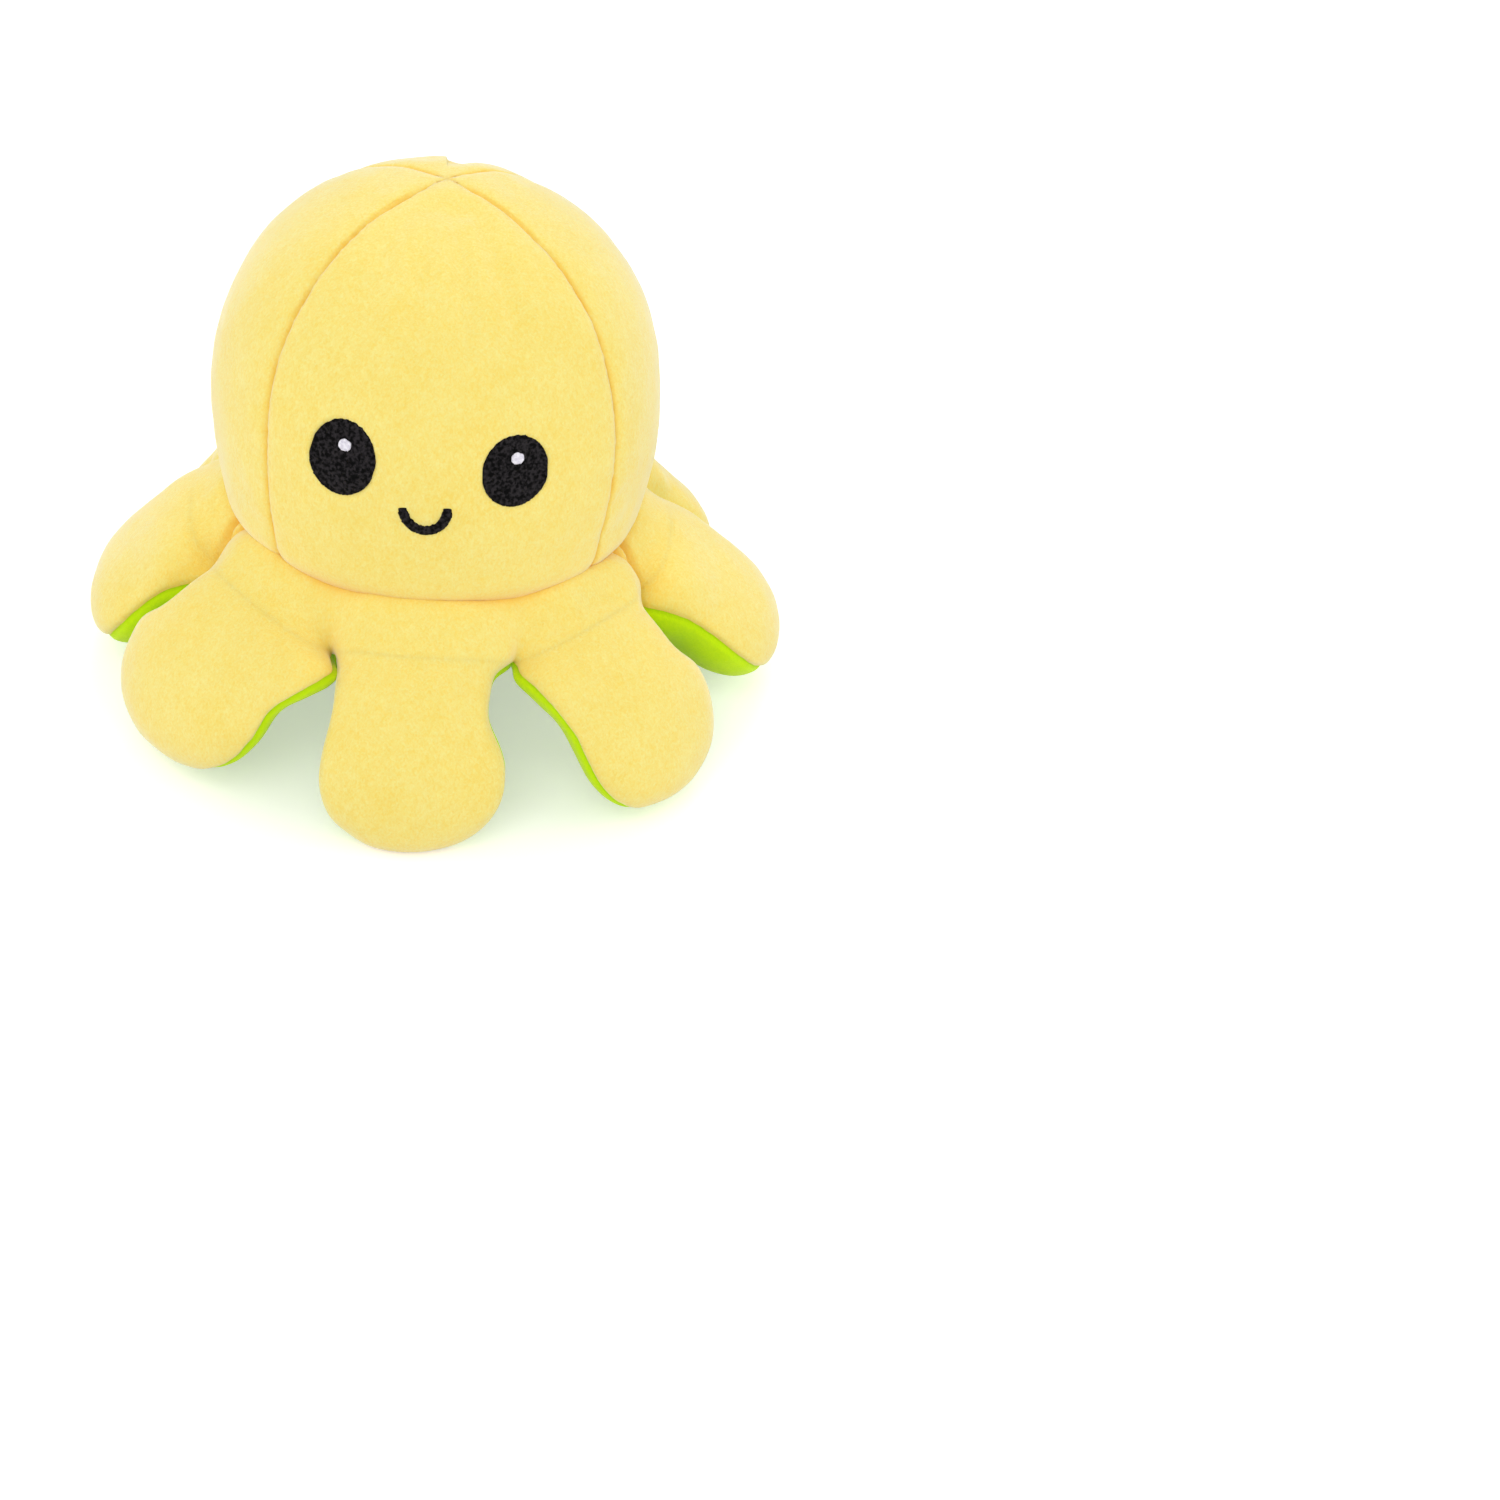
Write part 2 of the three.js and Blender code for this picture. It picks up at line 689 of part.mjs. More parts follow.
for (const [index, name] of ['front', 'right', 'back', 'left'].entries()) {
  const shade = index % 2 ? deepYellow : yellow;
  head.add(node(`head_${name}_panel`, gorePanel(headForm, index, 0, -skin, seamDip), shade));
  head.add(node(`inner_head_${name}_panel`, gorePanel(hollowForm, index, skin, 0, 0), index % 2 ? deepGreen : green));
}
head.add(node('head_filling', headFilling(), filling));
head.add(...face('face', headForm, 1, {
  rise: eyeRise,
  spread: eyeSpread,
  outline: () => oval(eyeHalfWidth, eyeHalfHeight, eyeSides),
  glintRise,
  mouthRise,
  mouthHalfWidth,
  sag: mouthSag,
}));
head.add(...face('inner_face', hollowForm, -1, {
  rise: innerEyeRise,
  spread: innerEyeSpread,
  outline: (way) => lidded(innerEyeHalfWidth, innerEyeHalfHeight, eyeSides, way),
  glintRise: 0,
  mouthRise: innerMouthRise - innerMouthSag,
  mouthHalfWidth: innerMouthHalfWidth,
  sag: -innerMouthSag,
}));

octopus.add(...ringNodes());

for (const limb of limbs) {
  const arm = new THREE.Group();
  arm.applyMatrix4(limb.place);
  const hinge = new THREE.Group();
  hinge.position.copy(limb.shape.hinge);
  hinge.add(...limbNodes(limb));
  arm.add(hinge);
  octopus.add(arm);
}

// The origin is the middle of the footprint
const footprint = new THREE.Box3().setFromObject(octopus, true).getCenter(new THREE.Vector3());
octopus.position.set(-footprint.x, -footprint.y, 0);

export default octopus;
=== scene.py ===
# %% [markdown]
# A reversible plush octopus, standing on its eight tentacles. The real toy is two soft skins, one
# yellow and one green, sewn to each other along the edges of the tentacles and filled with loose
# fibre. The yellow skin faces out. The green one lines the tentacles from below and its head is
# folded up into the yellow head.
#
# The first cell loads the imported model. It gives every node's place, so nothing is fitted by eye.

# %% Frame
import json
import math
import time
from types import SimpleNamespace

import bmesh
import bpy
import numpy as np
from mathutils import Matrix, Vector, kdtree, noise
from mathutils.bvhtree import BVHTree
from mathutils.geometry import intersect_line_line


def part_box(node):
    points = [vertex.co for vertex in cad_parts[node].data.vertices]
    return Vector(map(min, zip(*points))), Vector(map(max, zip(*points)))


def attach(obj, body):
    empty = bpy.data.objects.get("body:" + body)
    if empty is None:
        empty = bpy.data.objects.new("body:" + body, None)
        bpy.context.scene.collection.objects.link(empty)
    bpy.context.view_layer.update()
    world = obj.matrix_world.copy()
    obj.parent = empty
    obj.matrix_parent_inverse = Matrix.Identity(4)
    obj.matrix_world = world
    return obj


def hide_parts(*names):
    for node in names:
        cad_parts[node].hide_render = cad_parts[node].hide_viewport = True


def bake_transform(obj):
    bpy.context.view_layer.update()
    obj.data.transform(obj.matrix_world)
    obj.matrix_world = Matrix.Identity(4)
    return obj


started = time.time()
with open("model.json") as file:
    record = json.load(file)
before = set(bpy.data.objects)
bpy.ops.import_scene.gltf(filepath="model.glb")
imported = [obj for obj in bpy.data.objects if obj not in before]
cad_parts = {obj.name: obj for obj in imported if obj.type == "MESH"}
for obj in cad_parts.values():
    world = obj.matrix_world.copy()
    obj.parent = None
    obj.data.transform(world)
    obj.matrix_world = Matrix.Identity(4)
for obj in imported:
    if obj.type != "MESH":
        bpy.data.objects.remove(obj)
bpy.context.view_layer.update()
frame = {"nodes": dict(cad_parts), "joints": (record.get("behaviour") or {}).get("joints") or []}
scene = bpy.context.scene
MM = 0.001
FULL_TURN = 2 * math.pi


def report_time(what):
    print(what, "done at", round(time.time() - started, 1), "s")


# %% [markdown]
# The toy is built round an axis, and each tentacle has a direction of its own. Both are read from
# the joints: a tentacle's hinge runs across it, so the way out is square to the hinge, and the
# lines of two tentacles cross on the axis. Measured values would do, but these follow the model.

# %% Axis and directions
joints = {joint["child"]: joint for joint in frame["joints"]}


def outward(joint):
    x, y, _ = joint["axis"]
    return Vector((-y, x, 0)).normalized()


def ground(joint):
    return Vector((*joint["pos_m"][:2], 0))


front, right = joints["front_tentacle"], joints["right_tentacle"]
AXIS = intersect_line_line(
    ground(front), ground(front) + outward(front), ground(right), ground(right) + outward(right)
)[0]
print("axis", [round(x / MM, 2) for x in AXIS])

# %% [markdown]
# The camera stands where the photographer's stood: it looks down by a third of a right angle and
# is tilted a little. Its focal length is given in pixels of the picture, and the toy's middle is
# aimed at the pixel where the picture shows it. Shifting the lens would do that too, but a turned
# camera sees the toy in the perspective that it has at the side of a wide picture.

# %% Camera
PICTURE = 1500
FOCAL_PIXELS = 2560
SENSOR_MM = 36
AIM_PIXEL = (437, 439)
AIM_HEIGHT = 83 * MM
CAMERA_DISTANCE = 760 * MM
CAMERA_FALL = math.radians(33)
CAMERA_ROLL = math.radians(2.6)


def place_camera():
    aim = AXIS + Vector((0, 0, AIM_HEIGHT))
    eye = aim + CAMERA_DISTANCE * Vector((0, -math.cos(CAMERA_FALL), math.sin(CAMERA_FALL)))
    forward = (aim - eye).normalized()
    side = forward.cross(Vector((0, 0, 1))).normalized()
    up = side.cross(forward)
    roll = Matrix.Rotation(CAMERA_ROLL, 3, "Z")
    level = Matrix((side, up, -forward)).transposed() @ roll
    offset = [(pixel - PICTURE / 2) / FOCAL_PIXELS for pixel in AIM_PIXEL]
    ray = Vector((offset[0], -offset[1], -1)).normalized()
    turn = Vector((0, 0, -1)).rotation_difference(ray).to_matrix()
    data = bpy.data.cameras.new("camera")
    data.sensor_width = SENSOR_MM
    data.lens = FOCAL_PIXELS / PICTURE * SENSOR_MM
    camera = bpy.data.objects.new("camera", data)
    camera.matrix_world = Matrix.Translation(eye) @ (level @ turn.transposed()).to_4x4()
    scene.collection.objects.link(camera)
    scene.camera = camera
    print("camera", [round(x, 4) for x in eye])


place_camera()

# %% [markdown]
# A material is a tree of shader nodes. These helpers make one node at a time, with its numbers and
# its incoming links, and turn the hex colours that a painter would name into the linear values
# that a renderer adds up.

# %% Shader nodes


def linear(code, alpha=1.0):
    """An sRGB hex colour as the linear values that a shader takes."""
    parts = [int(code[i : i + 2], 16) / 255 for i in (1, 3, 5)]
    return [c / 12.92 if c <= 0.04045 else ((c + 0.055) / 1.055) ** 2.4 for c in parts] + [alpha]


def add(owner, kind, inputs=(), **settings):
    """One shader node. A value in inputs is a number, a colour or the socket that feeds it."""
    tree = owner.node_tree
    node = tree.nodes.new(kind)
    for name, value in settings.items():
        setattr(node, name, value)
    for name, value in dict(inputs).items():
        if isinstance(value, bpy.types.NodeSocket):
            tree.links.new(value, node.inputs[name])
        else:
            node.inputs[name].default_value = value
    return node


def material(name):
    made = bpy.data.materials.new(name)
    made.use_nodes = True
    made.node_tree.nodes.clear()
    return made


# %% [markdown]
# The light is soft and comes from all round, as in a product photograph: a pale world, a large
# lamp above and in front, a smaller one on each side and one behind. One bright lamp would give
# the toy hard shadows, which the photograph doesn't show.

# %% Light
WORLD_STRENGTH = 0.62
LAMPS = (
    ("key", (-0.3, -1.0, 1.1), 5.8, 1.0),
    ("left", (-1.2, 0.1, 0.6), 2.2, 0.8),
    ("right", (1.1, -0.3, 0.7), 2.8, 0.8),
    ("back", (0.2, 1.1, 1.3), 6.3, 1.0),
)


def lamp(name, place, power, size):
    data = bpy.data.lights.new(name, "AREA")
    data.energy = power
    data.size = size
    light = bpy.data.objects.new(name, data)
    light.location = place
    light.rotation_euler = (AXIS - Vector(place)).to_track_quat("-Z", "Y").to_euler()
    scene.collection.objects.link(light)


scene.view_settings.view_transform = "Standard"
for values in LAMPS:
    lamp(*values)
print(len(LAMPS), "lamps")

# %% [markdown]
# The photograph's ground is pure white, with the toy's soft shadow on it. More light would bleach
# the toy as well, so the world is white only where the camera sees it, and the paper glows a little
# only there. Light that falls on the toy is left as it is.

# %% White ground
PAPER_GLOW = 0.38
FLOOR_HALF = 4


def when_seen(owner, seen_value, else_value):
    """A value for what the camera sees, directly or as a reflection, and one for other light."""
    ray = add(owner, "ShaderNodeLightPath").outputs
    rays = {0: ray["Is Camera Ray"], 1: ray["Is Glossy Ray"]}
    seen = add(owner, "ShaderNodeMath", rays, operation="MAXIMUM")
    span = {"Value": seen.outputs[0], "To Min": else_value, "To Max": seen_value}
    return add(owner, "ShaderNodeMapRange", span).outputs[0]


world = bpy.data.worlds.new("studio")
scene.world = world
world.use_nodes = True
background = world.node_tree.nodes["Background"]
background.inputs["Color"].default_value = (1, 1, 1, 1)
world.node_tree.links.new(when_seen(world, 1, WORLD_STRENGTH), background.inputs["Strength"])

paper = material("white_paper")
matt_white = {
    "Base Color": linear("#f7f7f7"),
    "Roughness": 0.9,
    "Emission Color": linear("#ffffff"),
    "Emission Strength": when_seen(paper, PAPER_GLOW, 0),
}
paper_shader = add(paper, "ShaderNodeBsdfPrincipled", matt_white)
add(paper, "ShaderNodeOutputMaterial", {"Surface": paper_shader.outputs[0]})

floor_mesh = bpy.data.meshes.new("floor")
bm = bmesh.new()
bmesh.ops.create_grid(bm, x_segments=1, y_segments=1, size=FLOOR_HALF)
bm.to_mesh(floor_mesh)
bm.free()
floor_mesh.materials.append(paper)
floor = bpy.data.objects.new("floor", floor_mesh)
scene.collection.objects.link(floor)

# %% [markdown]
# The cloth is a short velvet, called crystal plush: a knitted back with a pile of fine polyester
# about 1.5 mm long. Single fibres would take millions of hairs, so a shader stands for them. The
# pile stands up, so the cloth shows its full colour where it faces the eye and turns pale at a
# grazing angle, where one looks along the fibres. Sheen does that. The pile lies in small tufts
# that point down the toy, which a stretched noise gives as bump. In a crease one looks in between
# the fibres, where the light has gone through several of them and shade falls. That shade is
# painted into the colour, which is made deeper there. Each mesh carries a value for this painted
# shade, called crease.

# %% Plush
TUFT = 0.6 * MM
NAP_STRETCH = 0.6
STROKE_SCALE = 0.3
STROKE_SHARE = 0.3
PATCH = 14 * MM
PATCH_SHARE = 0.15
PILE_BUMP = 0.3 * MM


def plush(name, colour, deep, crease, sheen, sheen_tint):
    cloth = material(name)
    place = add(cloth, "ShaderNodeTexCoord").outputs["Object"]
    nap = add(cloth, "ShaderNodeMapping", {"Vector": place, "Scale": (1, 1, NAP_STRETCH)}).outputs[0]
    fine = {"Vector": nap, "Scale": 1 / TUFT, "Detail": 3, "Distortion": 0.8}
    coarse = {"Vector": nap, "Scale": STROKE_SCALE / TUFT, "Detail": 2, "Distortion": 1}
    broad = {"Vector": place, "Scale": 1 / PATCH, "Detail": 2}
    tufts, strokes, patches = [
        add(cloth, "ShaderNodeTexNoise", size).outputs["Fac"] for size in (fine, coarse, broad)
    ]
    mixed = {"Factor": STROKE_SHARE, "A": tufts, "B": strokes}
    grain = add(cloth, "ShaderNodeMix", mixed).outputs[0]
    mixed = {"Factor": PATCH_SHARE, "A": grain, "B": patches}
    mottle = add(cloth, "ShaderNodeMix", mixed).outputs[0]
    spread = {"Value": mottle, "From Min": 0.37, "From Max": 0.63}
    shade = add(cloth, "ShaderNodeMapRange", spread).outputs[0]
    mixed = {"Factor": shade, "A": linear(deep), "B": linear(colour)}
    pile = add(cloth, "ShaderNodeMix", mixed, data_type="RGBA").outputs["Result"]
    # Painted shade: the crease value mixes the pile's colour towards the darker crease colour.
    depth = add(cloth, "ShaderNodeAttribute", attribute_name="crease").outputs["Fac"]
    mixed = {"Factor": depth, "A": pile, "B": linear(crease)}
    shaded_pile = add(cloth, "ShaderNodeMix", mixed, data_type="RGBA").outputs["Result"]
    relief = {"Height": grain, "Strength": 0.6, "Distance": PILE_BUMP}
    velvet = {
        "Base Color": shaded_pile,
        "Roughness": 0.95,
        "Specular IOR Level": 0.15,
        "Sheen Weight": sheen,
        "Sheen Roughness": 0.4,
        "Sheen Tint": linear(sheen_tint),
        "Subsurface Weight": 0.25,
        "Subsurface Radius": (1.0, 0.8, 0.3),
        "Subsurface Scale": 2.5 * MM,
        "Normal": add(cloth, "ShaderNodeBump", relief).outputs[0],
    }
    shader = add(cloth, "ShaderNodeBsdfPrincipled", velvet)
    add(cloth, "ShaderNodeOutputMaterial", {"Surface": shader.outputs[0]})
    return cloth


# The third colour of each cloth is the painted shade of its creases.
YELLOW = plush("yellow_crystal_plush", "#ffec90", "#fddd6c", "#f9c54c", 0.8, "#fffff8")
GREEN = plush("green_crystal_plush", "#d4fb08", "#c8f404", "#a6da00", 0.45, "#f4ffc0")
print("cloths", YELLOW.name, GREEN.name)

# %% [markdown]
# The faces are machine embroidery in polyester thread, black with a white glint. The threads
# themselves are modelled, so the material only adds an uneven dye and a faint gloss. The stuffing
# is loose white fibre, which nobody sees unless a seam is opened.

# %% Thread and stuffing
STRAND = 1 * MM
THREAD_BUMP = 0.08 * MM
FIBRE = 2.2 * MM
FIBRE_BUMP = 0.8 * MM


def fibrous(name, light, dark, size, roughness, shine, sheen, bump_height):
    made = material(name)
    place = add(made, "ShaderNodeTexCoord").outputs["Object"]
    speckle = add(made, "ShaderNodeTexNoise", {"Vector": place, "Scale": 1 / size, "Detail": 4})
    fleck = {"Value": speckle.outputs["Fac"], "From Min": 0.42, "From Max": 0.62}
    share = add(made, "ShaderNodeMapRange", fleck).outputs[0]
    dye = {"Factor": share, "A": linear(dark), "B": linear(light)}
    relief = {"Height": speckle.outputs["Fac"], "Strength": 0.5, "Distance": bump_height}
    fibre = {
        "Base Color": add(made, "ShaderNodeMix", dye, data_type="RGBA").outputs["Result"],
        "Roughness": roughness,
        "Specular IOR Level": shine,
        "Sheen Weight": sheen,
        "Sheen Roughness": 0.4,
        "Normal": add(made, "ShaderNodeBump", relief).outputs[0],
    }
    shader = add(made, "ShaderNodeBsdfPrincipled", fibre)
    add(made, "ShaderNodeOutputMaterial", {"Surface": shader.outputs[0]})
    return made


BLACK_THREAD = fibrous(
    "black_embroidery_thread", "#2e2b2d", "#010101", STRAND, 0.6, 0.05, 0, THREAD_BUMP
)
WHITE_THREAD = fibrous(
    "white_embroidery_thread", "#f6f3fa", "#dcd8e4", STRAND, 0.5, 0.15, 0.2, THREAD_BUMP
)
STUFFING = fibrous("polyester_stuffing", "#f7f6f0", "#e6e4db", FIBRE, 0.95, 0.15, 0.4, FIBRE_BUMP)

YELLOW_SLOT = SimpleNamespace(name="yellow_plush", material=YELLOW)
GREEN_SLOT = SimpleNamespace(name="green_plush", material=GREEN)
BLACK_SLOT = SimpleNamespace(name="black_thread", material=BLACK_THREAD)
WHITE_SLOT = SimpleNamespace(name="white_thread", material=WHITE_THREAD)
STUFFING_SLOT = SimpleNamespace(name="stuffing", material=STUFFING)
print("threads and stuffing", [made.name for made in (BLACK_THREAD, WHITE_THREAD, STUFFING)])

# %% [markdown]
# A shape starts as a bmesh, which knows its faces and edges. Its fine form is sculpted afterwards
# by moving all its vertices at once, as arrays, which is both shorter and faster than a loop.
# Modifiers are applied as soon as they are set, so each step starts from a plain mesh.

# %% Meshes as arrays


def as_object(name, bm, *materials):
    mesh = bpy.data.meshes.new(name)
    bm.to_mesh(mesh)
    bm.free()
    for each in materials:
        mesh.materials.append(each)
    mesh.shade_smooth()
    made = bpy.data.objects.new(name, mesh)
    scene.collection.objects.link(made)
    return made


def read(items, name, width, kind=float):
    """One property of all the items, as an array with this many columns."""
    values = np.empty(len(items) * width, kind)
    items.foreach_get(name, values)
    return values.reshape(-1, width)


def points_of(piece):
    return read(piece.data.vertices, "co", 3)


def normals_of(piece):
    return read(piece.data.vertex_normals, "vector", 3)


def put_points(piece, points):
    piece.data.vertices.foreach_set("co", np.ascontiguousarray(points).ravel())
    piece.data.update()


def unit(vectors):
    return vectors / np.maximum(np.linalg.norm(vectors, axis=-1, keepdims=True), 1e-9)


def apply_modifiers(piece):
    graph = bpy.context.evaluated_depsgraph_get()
    mesh = bpy.data.meshes.new_from_object(piece.evaluated_get(graph), depsgraph=graph)
    piece.modifiers.clear()
    old = piece.data
    piece.data = mesh
    bpy.data.meshes.remove(old)


def subdivide(piece, levels):
    smooth = piece.modifiers.new("smooth", "SUBSURF")
    smooth.levels = smooth.render_levels = levels
    apply_modifiers(piece)


def surface_of(skin):
    """A tree that finds the nearest place on a skin, or the first that a ray meets."""
    faces = [list(face.vertices) for face in skin.data.polygons]
    return BVHTree.FromPolygons([vert.co.copy() for vert in skin.data.vertices], faces)


# %% [markdown]
# Everything soft is described by where it begins, how it fades and how uneven it is. These curves
# take whole arrays of vertices. Angles are counted from the front of the toy towards its right.

# %% Soft curves


def smoothstep(share):
    share = np.clip(share, 0, 1)
    return share * share * (3 - 2 * share)


def rising(value, start, over):
    """From 0 at the start to 1, over this length."""
    return smoothstep((value - start) / over)


def falling(value, end, over):
    """From 1 to 0 at the end, over this length."""
    return smoothstep((end - value) / over)


def bell(distance, width, power=2):
    return np.exp(-((distance / width) ** power))


def polar(points):
    """Angle round the axis and distance from it."""
    return np.arctan2(points[:, 0], -points[:, 1]), np.hypot(points[:, 0], points[:, 1])


def lumps(points, size, seed):
    """Slow unevenness of the stuffing, between -1 and 1, with bumps about as wide as size."""
    shift = Vector((seed, 2 * seed, 3 * seed))
    return np.array([noise.noise(Vector(point) / size + shift) for point in points])


# %% [markdown]
# Stuffing presses a skin out from within, and the skin bulges where no seam holds it. A cloth
# simulation with pressure does the same. It is run for a few steps and kept as a mesh, with each
# point's way limited, so that the toy keeps the size of the model. A formula could bulge a panel,
# but it wouldn't find the strained look beside a seam.

# %% Filling
CLOTH_STEPS = 20


def inflate(piece, pinned, pressure, limit, mass=0.3, growth=0):
    """Fills a skin with stuffing: cloth under pressure, cut larger by its growth, held at the
    pinned points, and no point moved by more than the limit."""
    before = points_of(piece)
    group = piece.vertex_groups.new(name="pinned")
    group.add([int(i) for i in pinned], 1, "REPLACE")
    cloth = piece.modifiers.new("cloth", "CLOTH")
    settings = cloth.settings
    settings.quality = 6
    settings.mass = mass
    settings.shrink_min = -growth
    settings.tension_stiffness = settings.compression_stiffness = 15
    settings.shear_stiffness = 5
    settings.bending_stiffness = 0.5
    settings.use_pressure = True
    settings.uniform_pressure_force = pressure
    settings.effector_weights.gravity = 0
    settings.vertex_group_mass = "pinned"
    cloth.collision_settings.use_collision = False
    for step in range(1, CLOTH_STEPS + 1):
        scene.frame_set(step)
    evaluated = piece.evaluated_get(bpy.context.evaluated_depsgraph_get())
    shift = read(evaluated.to_mesh().vertices, "co", 3) - before
    evaluated.to_mesh_clear()
    piece.modifiers.clear()
    piece.vertex_groups.clear()
    scene.frame_set(1)
    length = np.linalg.norm(shift, axis=1, keepdims=True)
    shift *= limit * np.tanh(length / limit) / np.maximum(length, 1e-9)
    put_points(piece, before + shift)
    kept = np.linalg.norm(shift, axis=1).max()
    print(f"{piece.name} swelled by up to {length.max() / MM:.1f} mm, kept {kept / MM:.1f}")


# %% [markdown]
# A seam is an edge between two panels. The distance of each vertex from the nearest one tells
# where the cloth rolls in. The crease value, which tells the plush shader where to darken the
# colour as painted shade, is kept per vertex.

# %% Seams


def seam_distance(piece, is_seam):
    """Distance of each vertex from the nearest edge whose two faces satisfy is_seam."""
    bm = bmesh.new()
    bm.from_mesh(piece.data)
    on_seam = set()
    for edge in bm.edges:
        sides = [face.material_index for face in edge.link_faces]
        if len(sides) == 2 and is_seam(*sides):
            on_seam.update(vert.index for vert in edge.verts)
    bm.free()
    tree = kdtree.KDTree(len(on_seam))
    for index in on_seam:
        tree.insert(piece.data.vertices[index].co, index)
    tree.balance()
    return np.array([tree.find(vert.co)[2] for vert in piece.data.vertices])


def panels_differ(one, other):
    return one != other


# The crease value marks where the plush is darkened by painted shade.
def set_crease_shade(piece, values):
    crease = piece.data.attributes.new("crease", "FLOAT", "POINT")
    crease.data.foreach_set("value", np.clip(values, 0, 1).astype(np.float32))


# %% [markdown]
# The panels are separate pieces of cloth, sewn edge to edge. Each is cut out of the sculpted skin,
# which keeps their edges together, and is given the thickness of the cloth. Where two pieces meet
# without a groove, each alone would be shaded by its own rim, so a piece keeps the normals of the
# whole skin. The inner side follows normals that are evened out, because those in the bottom of a
# groove point anywhere.

# %% Pieces of cloth
CLOTH = 1.4 * MM
EVENING_ROUNDS = 8
SIDE_TURN = 0.4


def keep_outside(piece):
    """Stores the whole skin's normals for cut_out, as they are and evened out."""
    outside = normals_of(piece)
    one, other = read(piece.data.edges, "vertices", 2, int).T
    even = outside
    for _ in range(EVENING_ROUNDS):
        total = even.copy()
        np.add.at(total, one, even[other])
        np.add.at(total, other, even[one])
        even = unit(total)
    for name, vectors in (("outside", outside), ("through", even)):
        stored = piece.data.attributes.new(name, "FLOAT_VECTOR", "POINT")
        stored.data.foreach_set("vector", vectors.ravel())


def cut_out(whole, name, keep, slot):
    """The part of a skin whose faces have one of the kept material numbers, as cloth."""
    bm = bmesh.new()
    bm.from_mesh(whole.data)
    others = [face for face in bm.faces if face.material_index not in keep]
    bmesh.ops.delete(bm, geom=others, context="FACES")
    for face in bm.faces:
        face.material_index = 0
    piece = as_object(name, bm, slot.material)
    outer = points_of(piece)
    through = read(piece.data.attributes["through"].data, "vector", 3)
    wall = piece.modifiers.new("cloth", "SOLIDIFY")
    wall.thickness = CLOTH
    wall.offset = -1
    apply_modifiers(piece)
    put_points(piece, np.concatenate([outer, outer - CLOTH * through]))
    mesh = piece.data
    face_normals = read(mesh.polygons, "normal", 3)
    face_normals = np.repeat(face_normals, read(mesh.polygons, "loop_total", 1, int)[:, 0], axis=0)
    corner = read(mesh.loops, "vertex_index", 1, int)[:, 0]
    wanted = read(mesh.attributes["outside"].data, "vector", 3)[corner]
    facing = (wanted * face_normals).sum(1, keepdims=True)
    inner = np.where(facing < -SIDE_TURN, -wanted, face_normals)
    mesh.normals_split_custom_set(np.where(facing > SIDE_TURN, wanted, inner).tolist())
    return piece


# %% [markdown]
# The head is four gores, as on a ball: panels that taper to the crown, where they are all sewn
# together. Above its widest place it is round, below it comes down nearly straight, and its lower
# edge is rolled in and droops over the skirt. One curve gives this profile from a few sizes of the
# model. The head leans a little, so it is made upright and then turned with its neck.

# %% Head profile
NECK_RADIUS = 59.5 * MM
NECK_HEIGHT = 63 * MM
HEAD_RADIUS = 64.3 * MM
WIDEST_RISE = 35 * MM
CROWN_RISE = 63.5 * MM
HEAD_LEAN = math.radians(-5.5)
CROWN_SHAPE = 2.2
NECK_SHAPE = 2.2
NECK_TUCK = 3.8 * MM
TUCK_RISE = 7 * MM
NECK_DROOP = 4.4 * MM
HEAD = SimpleNamespace(
    base=NECK_RADIUS, widest=HEAD_RADIUS, widest_rise=WIDEST_RISE, crown_rise=CROWN_RISE,
    tuck=NECK_TUCK, droop=NECK_DROOP,
)

neck = Matrix.Translation(AXIS + Vector((0, 0, NECK_HEIGHT))) @ Matrix.Rotation(HEAD_LEAN, 4, "X")
neck_turn = np.array(neck.to_3x3())
neck_place = np.array(neck.translation)


def from_head(local):
    return local @ neck_turn.T + neck_place


def to_head(points):
    return (points - neck_place) @ neck_turn


def dome(share, form):
    """Radius and rise of a head's profile, from the neck (share 0) to the crown (share 1)."""
    arc = form.widest_rise + form.crown_rise * math.pi / 2
    along = share * arc
    if along < form.widest_rise:
        below = 1 - along / form.widest_rise
        radius = form.widest - (form.widest - form.base) * below**NECK_SHAPE
        rise = along - form.droop * below**4
    else:
        turn = (along - form.widest_rise) / (arc - form.widest_rise) * math.pi / 2
        radius = form.widest * math.cos(turn) ** (2 / CROWN_SHAPE)
        rise = form.widest_rise + form.crown_rise * math.sin(turn) ** (2 / CROWN_SHAPE)
    tucked = max(1 - (rise + form.droop) / TUCK_RISE, 0)
    return radius - form.tuck * tucked**2, rise


print("neck", [round(x / MM, 1) for x in neck_place])

# %% [markdown]
# The profile is spun round the head's axis. The spin's steps are then shifted, so that each seam
# falls on a step and the steps are finest beside it, where the groove needs them. Each face is
# numbered by its panel. Four panels made one by one would have to be fitted to each other. Spin
# gives its faces in a different order each time, and a cloth simulation depends on that order, so
# they are put in a fixed one. The head is then the same on every run.

# %% Head skin
SEAM_AZIMUTHS = [math.radians(degrees) for degrees in (-47, 51, 133, 229)]
PANELS = ("front", "right", "back", "left")
HEAD_COLUMNS = 128
HEAD_ROWS = 38
SEAM_FINENESS = 0.6
SAME_PLACE = 0.01 * MM


def seam_turns(columns):
    """The azimuth of each step. The four seams lie on a step, and the steps are finest there."""
    seams = np.array([*SEAM_AZIMUTHS, SEAM_AZIMUTHS[0] + FULL_TURN])
    step = np.arange(columns + 1) / columns * len(PANELS)
    panel = np.minimum(step.astype(int), len(PANELS) - 1)
    share = step - panel
    share -= SEAM_FINENESS * np.sin(FULL_TURN * share) / FULL_TURN
    return seams[panel] + share * np.diff(seams)[panel]


